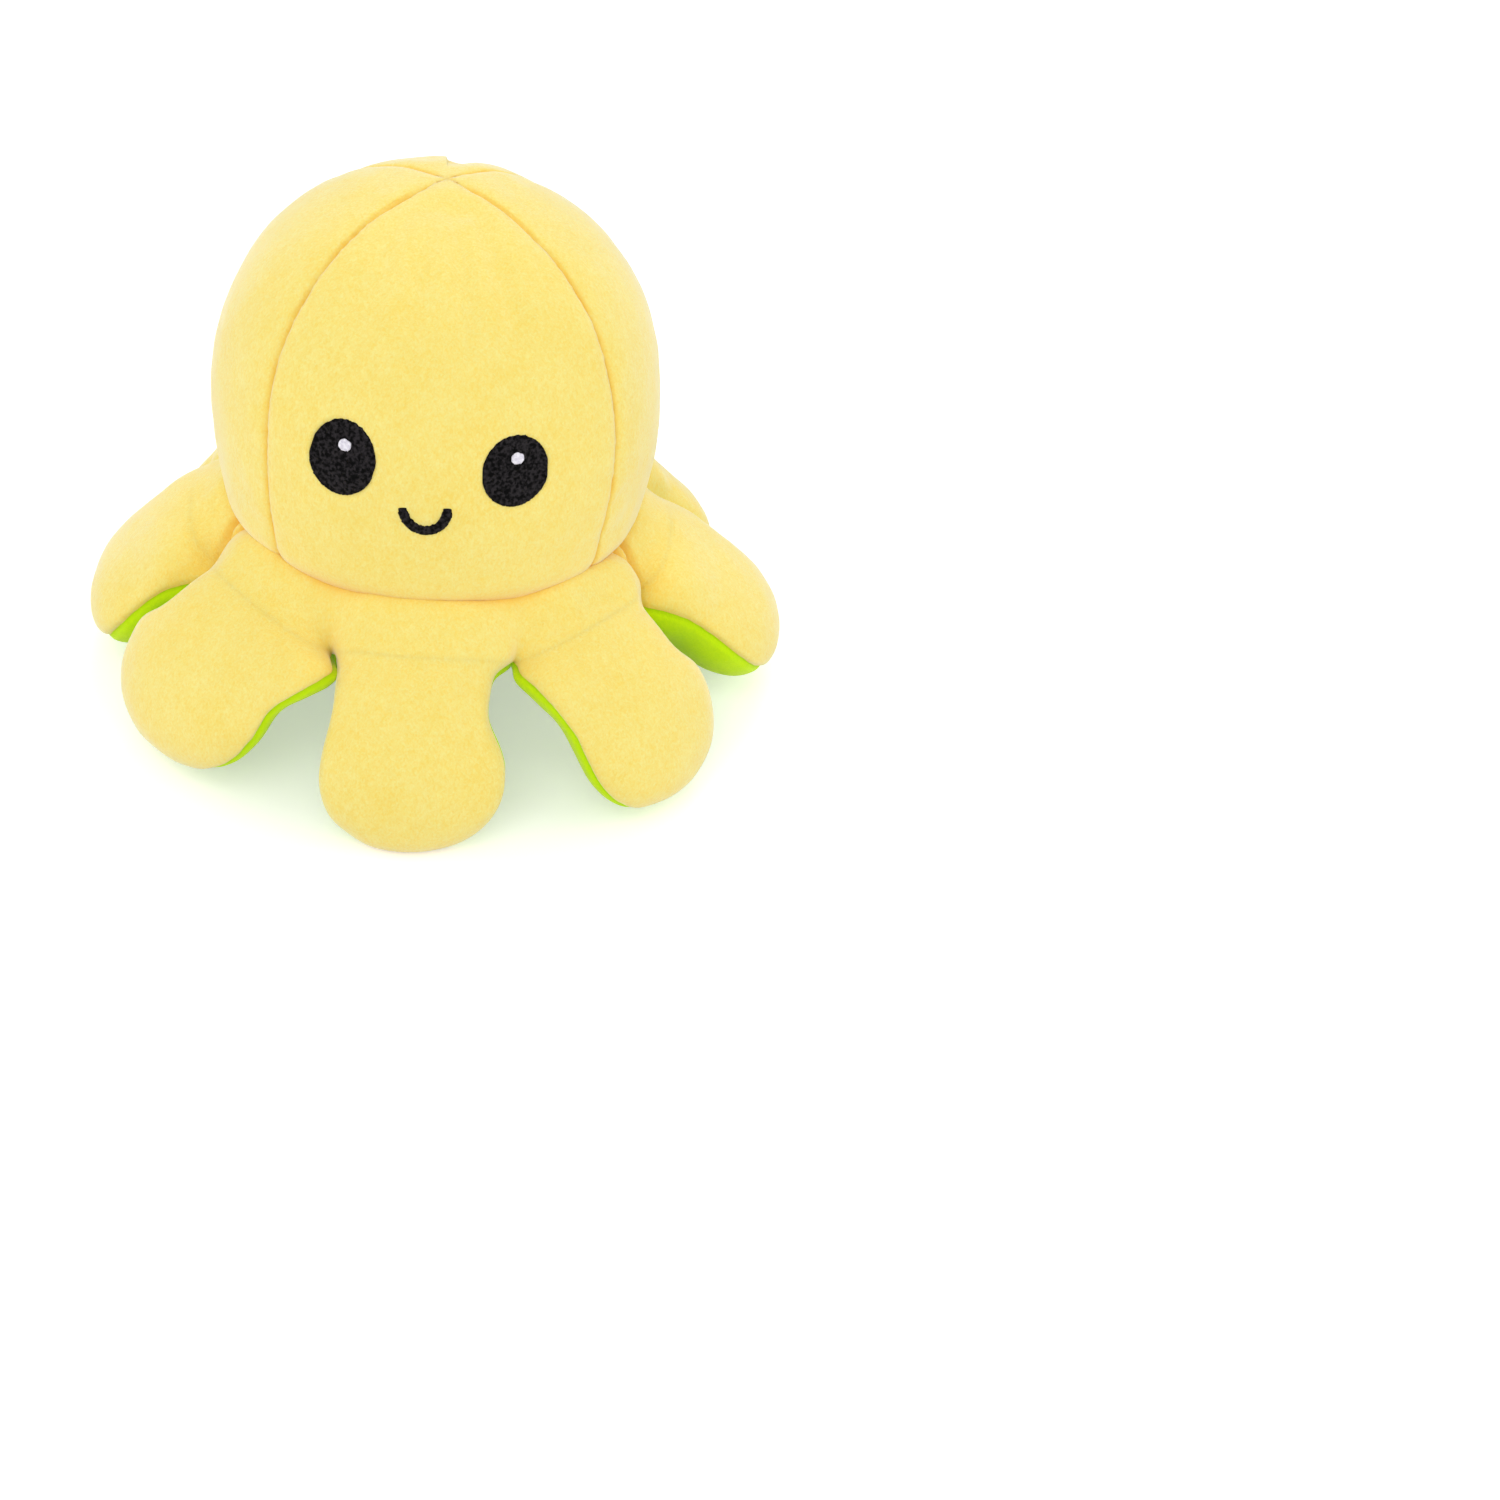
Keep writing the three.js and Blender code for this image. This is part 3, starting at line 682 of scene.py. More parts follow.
def in_order(bm):
    """Makes the faces anew in the order of their points, each from its first point on."""
    bm.verts.index_update()
    loops = []
    for face in bm.faces:
        corners = [vert.index for vert in face.verts]
        first = corners.index(min(corners))
        loops.append(corners[first:] + corners[:first])
    places = [vert.co.copy() for vert in bm.verts]
    bm.clear()
    verts = [bm.verts.new(place) for place in places]
    for corners in sorted(loops):
        bm.faces.new([verts[index] for index in corners])


def spin_profile(profile, steps):
    """A line of (radius, rise) turned round the upright axis, with its faces outwards."""
    bm = bmesh.new()
    verts = [bm.verts.new((0, -max(radius, 0), rise)) for radius, rise in profile]
    edges = [bm.edges.new(pair) for pair in zip(verts, verts[1:])]
    bmesh.ops.spin(
        bm, geom=verts + edges, axis=(0, 0, 1), cent=(0, 0, 0), angle=FULL_TURN,
        steps=steps, use_merge=True, use_duplicate=False,
    )
    bmesh.ops.remove_doubles(bm, verts=bm.verts, dist=SAME_PLACE)
    bmesh.ops.recalc_face_normals(bm, faces=bm.faces)
    in_order(bm)
    return bm


def spun_head(name, form, rows, columns, *materials):
    """A profile turned round the axis, with each face numbered by its gore panel."""
    turns = seam_turns(columns)
    bm = spin_profile([dome(i / rows, form) for i in range(rows + 1)], columns)
    for vert in bm.verts:
        x, y, z = vert.co
        step = math.atan2(x, -y) % FULL_TURN / (FULL_TURN / columns)
        azimuth = np.interp(step, range(columns + 1), turns)
        radius = math.hypot(x, y)
        vert.co = (radius * math.sin(azimuth), -radius * math.cos(azimuth), z)
    for face in bm.faces:
        centre = face.calc_center_median()
        azimuth = (math.atan2(centre.x, -centre.y) - SEAM_AZIMUTHS[0]) % FULL_TURN
        face.material_index = sum(azimuth > seam - SEAM_AZIMUTHS[0] for seam in SEAM_AZIMUTHS[1:])
    return as_object(name, bm, *materials)


head = spun_head("head", HEAD, HEAD_ROWS, HEAD_COLUMNS, *[YELLOW] * 4)
print("head skin", len(head.data.polygons), "faces")

# %% [markdown]
# The stuffing bulges each panel between its seams. The seams, the gathered crown and the rolled
# edge at the neck are pinned. The cloth is light and cut a trace too large, so that it swells
# evenly, and it moves by a millimetre at most, since the model already has the head's full form.

# %% Head swelling
PRESSURE = 4
HEAD_SWELL = 1 * MM
HEAD_CLOTH_MASS = 0.01
HEAD_CLOTH_GROWTH = 0.003
CROWN_HELD = 11 * MM
SEAM_HELD = 0.5 * MM

at = points_of(head)
held = at[:, 2] < TUCK_RISE - NECK_DROOP
held |= polar(at)[1] < CROWN_HELD
held |= seam_distance(head, panels_differ) < SEAM_HELD
inflate(
    head, np.flatnonzero(held), PRESSURE, HEAD_SWELL,
    mass=HEAD_CLOTH_MASS, growth=HEAD_CLOTH_GROWTH,
)
print(held.sum(), "of", len(held), "points held")
subdivide(head, 2)

# %% [markdown]
# Two panels that are sewn together roll into their seam, and the thread pulls it unevenly, so the
# groove is a little wavy. Soft folds run down from the crown, where cloth was gathered. The eyes
# lie in shallow beds, because their stitches pull the cloth in. All of it is added up as one depth
# per point, which is easier to balance than a stack of displacement modifiers.

# %% Head sculpting
SEAM_DEPTH = 0.85 * MM
SEAM_WIDTH = 0.7 * MM
ROLL_DEPTH = 0.5 * MM
ROLL_WIDTH = 3.2 * MM
HEAD_FOLDS = (
    (math.radians(-8), 4.0 * MM, 1.4 * MM),
    (math.radians(8), 3.4 * MM, 1.9 * MM),
    (math.radians(24), 4.0 * MM, 1.8 * MM),
    (math.radians(-27), 5.0 * MM, 1.2 * MM),
    (math.radians(172), 5.0 * MM, 1.5 * MM),
    (math.radians(196), 4.0 * MM, 1.3 * MM),
)
EYE_HALF_WIDTH = 9.6 * MM
EYE_HALVES = {"left": 11.35 * MM, "right": 10.7 * MM}
EYES = {"left": (math.radians(-23.2), 42.1 * MM), "right": (math.radians(19.7), 41.4 * MM)}
EYE_BED = 0.6 * MM
EYE_RIM = 0.2 * MM
CROWN_BACK = 3.4 * MM


def crown_folds(azimuth, radius, rise):
    reach = rising(radius, 7 * MM, 12 * MM) * falling(radius, 60 * MM, 16 * MM)
    high = rising(rise, 55 * MM, 20 * MM)
    folds = [size * bell((azimuth - where) * radius, width) for where, width, size in HEAD_FOLDS]
    return sum(folds) * reach * high


def eye_beds(azimuth, radius, rise):
    """A bed under each eye, with a low rim round it. At the back of the head there is none."""
    depth = np.zeros(len(radius))
    for side, (where, level) in EYES.items():
        aside = radius * np.sin(azimuth - where) / EYE_HALF_WIDTH
        above = (rise - level) / EYE_HALVES[side]
        ring = np.where(np.cos(azimuth - where) > 0, np.hypot(aside, above), 9)
        depth += EYE_BED * (1 - rising(ring, 0.94, 0.14)) - EYE_RIM * bell(ring - 1.12, 0.07)
    return depth


def sculpt_head():
    distance = seam_distance(head, panels_differ)
    local = points_of(head)
    azimuth, radius = polar(local)
    rise = local[:, 2]
    uneven = 1 + 0.5 * lumps(local, 2.2 * MM, 3) + 0.3 * lumps(local, 9 * MM, 4)
    gather = 1 - 0.6 * bell(radius, 6 * MM)
    groove = bell(distance, SEAM_WIDTH, 1.2)
    depth = (SEAM_DEPTH * groove * uneven + ROLL_DEPTH * bell(distance, ROLL_WIDTH)) * gather
    depth += eye_beds(azimuth, radius, rise) + crown_folds(azimuth, radius, rise)
    swell = 0.7 * MM * lumps(local, 26 * MM, 1) + 0.18 * MM * lumps(local, 7 * MM, 2)
    sculpted = local + normals_of(head) * (swell - depth)[:, None]
    leaning = rising(sculpted[:, 2], 70 * MM, 28 * MM) * smoothstep(1 - radius / HEAD_RADIUS)
    sculpted[:, 1] += CROWN_BACK * leaning
    put_points(head, sculpted)
    # Painted shade in the seam grooves and on the edge rolled in at the neck.
    tuck = np.exp(-np.maximum(rise + 1.5 * MM, 0) / (1.5 * MM))
    set_crease_shade(head, 0.75 * groove * uneven * (0.4 + 0.6 * gather) + 0.7 * tuck)
    print("head sculpted by up to", round(float(np.abs(swell - depth).max() / MM), 1), "mm")


sculpt_head()

# %% [markdown]
# Now the skin becomes four pieces of cloth. Each stands for its solid in the model and rides on
# the toy's body. The skin itself is only needed once more, as the surface that the face is
# embroidered on, so its shape is kept in a search tree.

# %% Head panels


def sew_panels(skin, prefix, slot):
    """Cuts a head into its panels and returns its surface."""
    put_points(skin, from_head(points_of(skin)))
    keep_outside(skin)
    for number, panel in enumerate(PANELS):
        node = f"{prefix}_{panel}_panel"
        piece = cut_out(skin, f"{node}_plush", {number}, slot)
        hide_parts(node)
        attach(piece, "body")
    surface = surface_of(skin)
    bpy.data.objects.remove(skin)
    return surface


head_surface = sew_panels(head, "head", YELLOW_SLOT)
report_time("head")

# %% [markdown]
# Loose fibre fills the room between the yellow head and the green one. It is one closed form: the
# profiles of both heads, each a little inside its skin, joined at the neck and turned round the
# axis. Two balls cut from each other would give the same room with a less even mesh.

# %% Head stuffing
HOLLOW = SimpleNamespace(
    base=39 * MM, widest=41.8 * MM, widest_rise=20 * MM, crown_rise=56.5 * MM, tuck=0, droop=0
)
STUFFING_STEPS = 72
STUFFING_ROWS = 24
FROM_YELLOW = (0.93, 0.93)
FROM_GREEN = (1.08, 1.05)
LOWEST_STUFFING = 3 * MM
FIBRE_LUMP = 0.5 * MM


def roughen(piece, size, seed):
    """Loose fibre never fills its room evenly."""
    points = points_of(piece)
    lift = FIBRE_LUMP * lumps(points, size, seed)
    put_points(piece, points + normals_of(piece) * lift[:, None])


def fill_head():
    shares = [i / STUFFING_ROWS for i in range(STUFFING_ROWS + 1)]
    profile = []
    for form, scale, way in ((HEAD, FROM_YELLOW, shares[::-1]), (HOLLOW, FROM_GREEN, shares)):
        for radius, rise in (dome(share, form) for share in way):
            profile.append((radius * scale[0], max(rise * scale[1], LOWEST_STUFFING)))
    filling = as_object("head_stuffing", spin_profile(profile, STUFFING_STEPS), STUFFING)
    roughen(filling, 6 * MM, 31)
    put_points(filling, from_head(points_of(filling)))
    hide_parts("head_filling")
    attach(filling, "body")
    print("head stuffing", len(filling.data.polygons), "faces")


fill_head()

# %% [markdown]
# An embroidered form is a row of threads, each with two ends. An eye is a row of upright threads
# that end on an oval, and a sleepy eye's lid cuts off their tops. The mouth is a row of short
# threads across its line. Drawn this way, a form has its edge where the real stitches end.

# %% Thread forms
OVAL_SHARE = 0.985
SHORTEST_THREAD = 0.2 * MM
ARC_REACH = math.radians(86)


def oval_threads(half_width, half_height, lid=None):
    """Upright threads that fill an oval. A lid cuts the oval's top along a slanting line."""

    def ends(across):
        u = half_width * (2 * across - 1) * OVAL_SHARE
        top = half_height * np.sqrt(1 - (u / half_width) ** 2)
        low = np.stack([u, -top], -1)
        if lid:
            top = np.minimum(top, half_height * (lid[0] - lid[1] * u / half_width))
        top = np.maximum(top, low[:, 1] + SHORTEST_THREAD)
        return low, np.stack([u, top], -1)

    return ends


def arc_threads(half_width, depth, half_stroke):
    """Short threads across an arc that hangs down by depth, or arches up where it is negative."""

    def ends(across):
        turn = (2 * across - 1) * ARC_REACH
        line = np.stack([half_width * np.sin(turn), -depth * np.cos(turn) ** 0.8], -1)
        way = unit(np.stack([half_width * np.cos(turn), depth * np.sin(turn)], -1))
        end = np.minimum(across, 1 - across) * half_width * math.pi
        taper = np.sqrt(np.clip(1 - (1 - np.clip(end / half_stroke, 0, 1)) ** 2, 0.75, 1))
        aside = np.stack([-way[:, 1], way[:, 0]], -1) * half_stroke * taper[:, None]
        return line - aside, line + aside

    return ends


# %% [markdown]
# Machine embroidery is hundreds of threads laid side by side, and each is a small ridge. Long ones
# are held down by needle holes on the way. Their ends are never quite even, which gives the edge
# its slightly ragged look. A grid is laid over the form with its columns along the threads, thrown
# onto the head along rays, and lifted by the ridges. A bump texture would leave the edge smooth.

# %% Embroidery
THREAD = 0.42 * MM
THREAD_RELIEF = 0.1 * MM
THREAD_SINK = 0.35 * MM
STITCH = 3.4 * MM
STITCH_SHIFT = 0.37
HOLE_SHARE = 0.06
RAGGED = 0.3 * MM
PAD_THICK = 0.7 * MM
SAMPLES = 5
RAY_START = 0.12


def embroider(node, surfaces, place, thread_ends, counts, stitch, tilt=0, inside=False):
    """Lays threads from one edge of a form to the other on the first surface below them. The
    place (azimuth, rise) is the form's middle, where the plane of the threads touches the head."""
    threads, steps = counts
    azimuth, rise = place
    radial = np.array((math.sin(azimuth), -math.cos(azimuth), 0))
    aside = np.array((math.cos(azimuth), math.sin(azimuth), 0))
    bm = bmesh.new()
    bmesh.ops.create_grid(bm, x_segments=threads * SAMPLES, y_segments=steps, size=1)
    flat = np.array([vert.co for vert in bm.verts])
    across, along = (flat[:, 0] + 1) / 2, (flat[:, 1] + 1) / 2
    low, high = thread_ends(across)
    number = np.clip((across * threads).astype(int), 0, threads - 1)
    length = np.maximum(np.linalg.norm(high - low, axis=1), 0.1 * MM)
    at_low = np.array([noise.noise((i * 0.77, 3.1, 0)) for i in number])
    at_high = np.array([noise.noise((i * 0.61, 9.4, 0)) for i in number])
    along = along + RAGGED / length * (at_low * (1 - along) + at_high * along)
    plane = (low + (high - low) * along[:, None]) @ np.array(Matrix.Rotation(-tilt, 2))
    ends, sides = np.clip(np.abs(flat[:, 1]), 0, 1), np.abs(flat[:, 0])
    rounded = (1 - ends**stitch.edge) ** 0.5 * (1 - sides ** (stitch.edge * 4)) ** 0.5
    ridge = np.abs(np.sin(math.pi * across * threads))
    phase = (along * length / STITCH + STITCH_SHIFT * number) % 1
    hole = bell(phase - 0.5, HOLE_SHARE) * (length > 1.5 * STITCH)
    relief = THREAD_RELIEF * (ridge - hole + 0.5 * at_low)
    lift = rounded * (stitch.height + relief) - THREAD_SINK
    toward = -1 if inside else 1
    begin = (0 if inside else RAY_START) * radial
    ray = Vector(neck_turn @ (-toward * radial))
    for vert, (u, v), raise_by in zip(bm.verts, plane, lift):
        start = Vector(from_head(aside * u + np.array((0, 0, rise + v)) + begin))
        hits = [under.ray_cast(start, ray)[0] for under in surfaces]
        vert.co = next(hit for hit in hits if hit) - ray * raise_by
    bmesh.ops.recalc_face_normals(bm, faces=bm.faces)
    piece = as_object(f"{node}_threads", bm, stitch.slot.material)
    outside = Vector(neck_turn @ (toward * radial))
    if piece.data.polygons[len(piece.data.polygons) // 2].normal.dot(outside) < 0:
        piece.data.flip_normals()
    pad = piece.modifiers.new("pad", "SOLIDIFY")
    pad.thickness = PAD_THICK
    pad.offset = -1
    apply_modifiers(piece)
    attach(piece, "body")
    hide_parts(node)
    return piece


# %% [markdown]
# The yellow head smiles. Its eyes are slightly uneven ovals with a white glint, which is stitched
# over the black threads, and the mouth is a deep arc. Their places are azimuth and rise on the
# head, so they stay on its surface whatever its form. A stitch has a height over the cloth and a
# power for its edge: the higher the power, the steeper the sides of the padded threads.

# %% Smiling face
EYE_STITCH = SimpleNamespace(height=0.95 * MM, edge=14, slot=BLACK_SLOT)
GLINT_STITCH = SimpleNamespace(height=0.75 * MM, edge=6, slot=WHITE_SLOT)
MOUTH_STITCH = SimpleNamespace(height=1.1 * MM, edge=2.4, slot=BLACK_SLOT)
EYE_STEPS = 56
EYE_TILTS = {"left": math.radians(-14), "right": 0}
GLINT_RADIUS = 1.85 * MM
GLINTS = {"left": (math.radians(-22.4), 46.4 * MM), "right": (math.radians(19.9), 45.6 * MM)}
GLINT_COUNTS = (10, 14)
MOUTH = (math.radians(-2.35), 32.4 * MM)
MOUTH_TILT = math.radians(4.7)
MOUTH_HALF = 6.1 * MM
MOUTH_DEPTH = 8.1 * MM
MOUTH_COUNTS = (46, 10)
STROKE_HALF = 1.6 * MM

glint_ends = oval_threads(GLINT_RADIUS, GLINT_RADIUS)
for side, place in EYES.items():
    eye = embroider(
        f"face_{side}_eye", [head_surface], place,
        oval_threads(EYE_HALF_WIDTH, EYE_HALVES[side]),
        (round(2 * EYE_HALF_WIDTH / THREAD), EYE_STEPS), EYE_STITCH, tilt=EYE_TILTS[side],
    )
    under = [surface_of(eye), head_surface]
    embroider(f"face_{side}_glint", under, GLINTS[side], glint_ends, GLINT_COUNTS, GLINT_STITCH)
smile = arc_threads(MOUTH_HALF, MOUTH_DEPTH, STROKE_HALF)
embroider(
    "face_mouth", [head_surface], MOUTH, smile, MOUTH_COUNTS, MOUTH_STITCH, tilt=MOUTH_TILT
)
report_time("face")

# %% [markdown]
# The green head is as large as the yellow one, but it is folded up into it, where there is less
# room. So its cloth lies in loose upright folds round the hollow. The folds are a noise that is
# squeezed along the head's circle, and they fade where the embroidery stiffens the cloth.

# %% Inner head
INNER_COLUMNS = 88
INNER_ROWS = 30
INNER_FOLD = 1.6 * MM
INNER_GAP = 0.6 * MM
INNER_SEAM_DEPTH = 0.9 * MM
INNER_SEAM_WIDTH = 1.1 * MM
FOLD_RING = 0.03
FOLD_STRETCH = 0.3


def middle_of(node):
    low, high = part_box(node)
    return np.array((Vector(low) + Vector(high)) / 2)


def fold_inner_head(inner):
    local = points_of(inner)
    azimuth, _ = polar(local)
    rise = local[:, 2]
    ring = [FOLD_RING * np.sin(azimuth), FOLD_RING * np.cos(azimuth), rise * FOLD_STRETCH]
    pleat = lumps(np.stack(ring, -1), 5 * MM, 11)
    free = rising(rise, 0, 14 * MM) * falling(rise, 74 * MM, 12 * MM)
    flat = np.ones(len(local))
    for part in ("left_eye", "right_eye", "mouth"):
        close = np.linalg.norm(from_head(local) - middle_of(f"inner_face_{part}"), axis=1)
        flat *= rising(close, 9 * MM, 7 * MM)
    groove = bell(seam_distance(inner, panels_differ), INNER_SEAM_WIDTH, 1.3)
    shift = (INNER_FOLD * pleat * flat - INNER_GAP) * free - INNER_SEAM_DEPTH * groove
    put_points(inner, local + normals_of(inner) * shift[:, None])
    # Painted shade in the seam grooves and in the valleys of the folds.
    set_crease_shade(inner, 0.6 * groove + 0.3 * np.clip(-pleat, 0, 1) * free)


inner = spun_head("inner_head", HOLLOW, INNER_ROWS, INNER_COLUMNS, *[GREEN] * 4)
inner.data.flip_normals()
subdivide(inner, 2)
fold_inner_head(inner)
inner_surface = sew_panels(inner, "inner_head", GREEN_SLOT)
report_time("inner head")

# %% [markdown]
# The green face looks inward, into the hollow. Its lids are half closed and slant outwards, and
# its mouth is a frown. It is stitched like the other face, with the rays thrown from the axis. The
# model's own solids give the places of its parts.

# %% Sleepy face
INNER_EYE_HALF = (8.2 * MM, 8.8 * MM)
INNER_EYE_STEPS = 46
LID_SHARE = 0.35
LID_SLANT = 0.25
INNER_MOUTH_HALF = 5.2 * MM
INNER_MOUTH_ARCH = -5 * MM
INNER_MOUTH_COUNTS = (38, 10)


def embroider_inside(node, surfaces, *threads_and_stitch):
    x, y, z = to_head(middle_of(node))
    return embroider(node, surfaces, (math.atan2(x, -y), z), *threads_and_stitch, inside=True)


for side, way in (("left", 1), ("right", -1)):
    lidded = oval_threads(*INNER_EYE_HALF, lid=(LID_SHARE, way * LID_SLANT))
    counts = (round(2 * INNER_EYE_HALF[0] / THREAD), INNER_EYE_STEPS)
    eye = embroider_inside(f"inner_face_{side}_eye", [inner_surface], lidded, counts, EYE_STITCH)
    under = [surface_of(eye), inner_surface]
    embroider_inside(f"inner_face_{side}_glint", under, glint_ends, GLINT_COUNTS, GLINT_STITCH)
frown = arc_threads(INNER_MOUTH_HALF, INNER_MOUTH_ARCH, STROKE_HALF)
embroider_inside(
    "inner_face_mouth", [inner_surface], frown, INNER_MOUTH_COUNTS, MOUTH_STITCH
)
report_time("inner face")

# %% [markdown]
# The skirt and the tentacles are one yellow sheet above and one green sheet below, cut to the same
# outline and sewn round the edge. No two tentacles of the real toy are alike: each is stuffed,
# bent and leant its own way. So each has a form of its own, read off the photograph, where it is
# seen. Two values in brackets are for a tentacle's two sides: first the one towards the next
# tentacle, counted from the front to the right, then the one towards the last. A form's parts are:
# - paddles and waists: half its width at the broad end and at the narrow place below the notches
# - root and bump: half its thickness where it leaves the skirt, and how high it swells there
# - belly: how many times thicker its underside is than its top
# - sway and longer: how far its tip lies aside, and how much further out it reaches
# - lift and curl: how high its edge lies at the tip, and how much higher at its two sides
# - paddle_share: the share of its length at which the rounding of the tip begins

# %% Tentacle shapes
NAMES = ("front", "front_right", "right", "back_right", "back", "back_left", "left", "front_left")


def shape(
    paddles=(26, 26), waists=(22.6, 22.6), root=11, bump=5, belly=1, sway=0, longer=0, lift=5,
    curl=(2, 2), paddle_share=0.7,
):
    """A tentacle's own form. Lengths are given in millimetres, shares and belly as they are."""
    return SimpleNamespace(
        paddles=[half * MM for half in paddles], waists=[half * MM for half in waists],
        root=root * MM, bump=bump * MM, belly=belly, sway=sway * MM, longer=longer * MM,
        lift=lift * MM, curl=[rise * MM for rise in curl], paddle_share=paddle_share,
    )


SHAPES = {
    "front": shape(
        (27.2, 27.2), (21, 25.4), root=8.5, bump=2.5, sway=-2.2, longer=-4, lift=0.8, curl=(0, 0)
    ),
    "front_right": shape(
        (27, 28), (19.5, 30), root=9, bump=4, belly=1.15, sway=1, longer=6, lift=6, curl=(0, 3),
        paddle_share=0.64,
    ),
    "right": shape(
        (25.5, 28), (22.6, 28.5), root=12, bump=7, belly=1.5, sway=4.5, longer=5, lift=11,
        curl=(0, 2),
    ),
    "back_right": shape(root=16, bump=13, sway=-9, lift=14),
    "back": shape((26.6, 26.6)),
    "back_left": shape(root=14, bump=9, sway=3, lift=7),
    "left": shape(
        (28, 26), (28, 22.6), root=13.5, bump=10, belly=1.3, sway=-3.5, longer=4, lift=10,
        curl=(2, 0),
    ),
    "front_left": shape(
        (33.5, 30), (36.5, 22.4), root=10, bump=5, sway=-8, longer=0.5, lift=5.6, curl=(2.8, 0),
        paddle_share=0.6,
    ),
}
print(len(SHAPES), "tentacle shapes")

# %% [markdown]
# Each tentacle gets the direction of its joint, the reach at which its solid stands on the
# surface, and half the angle to each of its neighbours. These come from the model, so the cloth
# stays where the solids are.

# %% Tentacle directions
TOUCHING = 0.05 * MM


def standing_reach(name, way):
    """How far out the tentacle's tip stands on the surface."""
    co = points_of(frame["nodes"][f"{name}_tentacle_underside"])
    tip = co[co[:, 2] < TOUCHING]
    return float(((tip - np.array(AXIS)) @ np.array(way)).mean())


limbs = []
highest = max(joint["pos_m"][2] for joint in joints.values())
for number, name in enumerate(NAMES):
    joint = joints[f"{name}_tentacle"]
    way = outward(joint)
    limbs.append(SimpleNamespace(
        name=name, number=number, way=way, across=Vector((0, 0, 1)).cross(way),
        azimuth=math.atan2(way.x, -way.y), level=joint["pos_m"][2] / highest,
        tip=standing_reach(name, way) + SHAPES[name].longer, shape=SHAPES[name],
    ))
for limb in limbs:
    limb.after, limb.before = limbs[(limb.number + 1) % 8], limbs[limb.number - 1]
    limb.to_next = ((limb.after.azimuth - limb.azimuth) % FULL_TURN) / 2
    limb.to_last = ((limb.azimuth - limb.before.azimuth) % FULL_TURN) / 2
print("tips stand at", [round(limb.tip / MM, 1) for limb in limbs])

# %% [markdown]
# A tentacle is built on a middle line that arches from the skirt down to its tip. Round this line
# go a half width, which narrows at the waist and swells to the paddle, and a half thickness. All
# are functions of the share of the length, so any number of rows can be laid on them.

# %% Middle line and outline
ROOT_REACH = 50 * MM
ROOT_HEIGHT = 56 * MM
BEND_REACH = 81 * MM
BEND_HEIGHT = 43 * MM
NOTCH_RADIUS = 62.5 * MM
NOTCH_SHARE = 0.24
WAIST_SHARE = 0.31
SWELL_SHARE = 0.4
TIP_SHAPE = 2.4
PADDLE_THICK = 12.6 * MM


def by_side(across, pair):
    """The first value on the side towards the next tentacle, the second on the other side."""
    return np.where(across > 0, *pair)


def side_angle(limb, across):
    return by_side(across, (limb.to_next, limb.to_last))


def middle(limb, share):
    """Reach and height of the middle line, as an array with two columns."""
    first, second, third = (1 - share) ** 2, 2 * share * (1 - share), share**2
    reach = first * ROOT_REACH + second * BEND_REACH + third * limb.tip
    height = (first * ROOT_HEIGHT + second * BEND_HEIGHT) * limb.level + third * limb.shape.lift
    return np.stack([reach, height], -1)


def upward(limb, share):
    """Unit direction square to the middle line, towards the upper side."""
    step = 1e-3
    along = unit(middle(limb, share + step) - middle(limb, share - step))
    return np.stack([-along[..., 1], along[..., 0]], -1)


def superellipse(share, power):
    """From 1 down to 0, as a rounded corner does: a circle at power 2, boxier above it."""
    return (1 - share**power) ** (1 / power)


def tip_rounding(limb, share):
    begin = limb.shape.paddle_share
    return superellipse(np.clip((share - begin) / (1 - begin), 0, 1), TIP_SHAPE)


def outline(limb, share, across):
    """Half width of the tentacle from its middle line to the side with this sign of across."""
    notch = NOTCH_RADIUS * np.sin(side_angle(limb, across))
    waist = by_side(across, limb.shape.waists)
    paddle = by_side(across, limb.shape.paddles)
    opening = np.clip((share - NOTCH_SHARE) / (WAIST_SHARE - NOTCH_SHARE), 0, 1)
    narrow = notch + (waist - notch) * (1 - (1 - opening) ** 2.5)
    swell = rising(share, SWELL_SHARE, limb.shape.paddle_share - SWELL_SHARE)
    return (narrow + (paddle - waist) * swell) * tip_rounding(limb, share)


def thickness(limb, share):
    swell = rising(share, NOTCH_SHARE, limb.shape.paddle_share - NOTCH_SHARE)
    return (limb.shape.root + (PADDLE_THICK - limb.shape.root) * swell) * tip_rounding(limb, share)


def paddle_width(limb):
    return float(sum(limb.shape.paddles) / MM)


print("paddles are", [round(paddle_width(limb), 1) for limb in limbs], "mm wide")

# %% [markdown]
# Each tentacle's share of a sheet is a grid. The columns at its sides lie on its outline, and so
# does its last row, so that no point of the tip is a pole. Towards the notches the tentacle grows
# boxier and is drawn over to its neighbours, because there they are one skirt.

# %% Tentacle points
CORNER_SHARE = 0.92
NOTCH_DROP = 2.5 * MM
BOXY_SHARE = 0.3
BELLY_SHARE = 0.2
SKIRT_SHARE = 0.22


def place_on_outline(limb, across, along):
    """A grid point's share of the length, its way aside, and its part of the way to the edge."""
    turn = across * math.pi / 2
    eased = np.sin(along * math.pi / 2)
    at_side = NOTCH_SHARE + (CORNER_SHARE - NOTCH_SHARE) * eased
    corner = outline(limb, np.full_like(across, CORNER_SHARE), across)
    ratio = np.clip(np.abs(np.sin(turn)) * corner / by_side(across, limb.shape.paddles), 0, 1)
    begin = limb.shape.paddle_share
    end = begin + (1 - begin) * superellipse(ratio, TIP_SHAPE)
    share = NOTCH_SHARE + (end - NOTCH_SHARE) * eased
    wide = np.sin(turn) * outline(limb, at_side, across)
    edge = np.clip(np.abs(wide) / np.maximum(outline(limb, share, across), 1e-9), 0, 1)
    return share, wide, np.where(np.abs(across) > 0.999, 1, edge)


def notch_height(limb):
    return middle(limb, np.array(NOTCH_SHARE))[1]


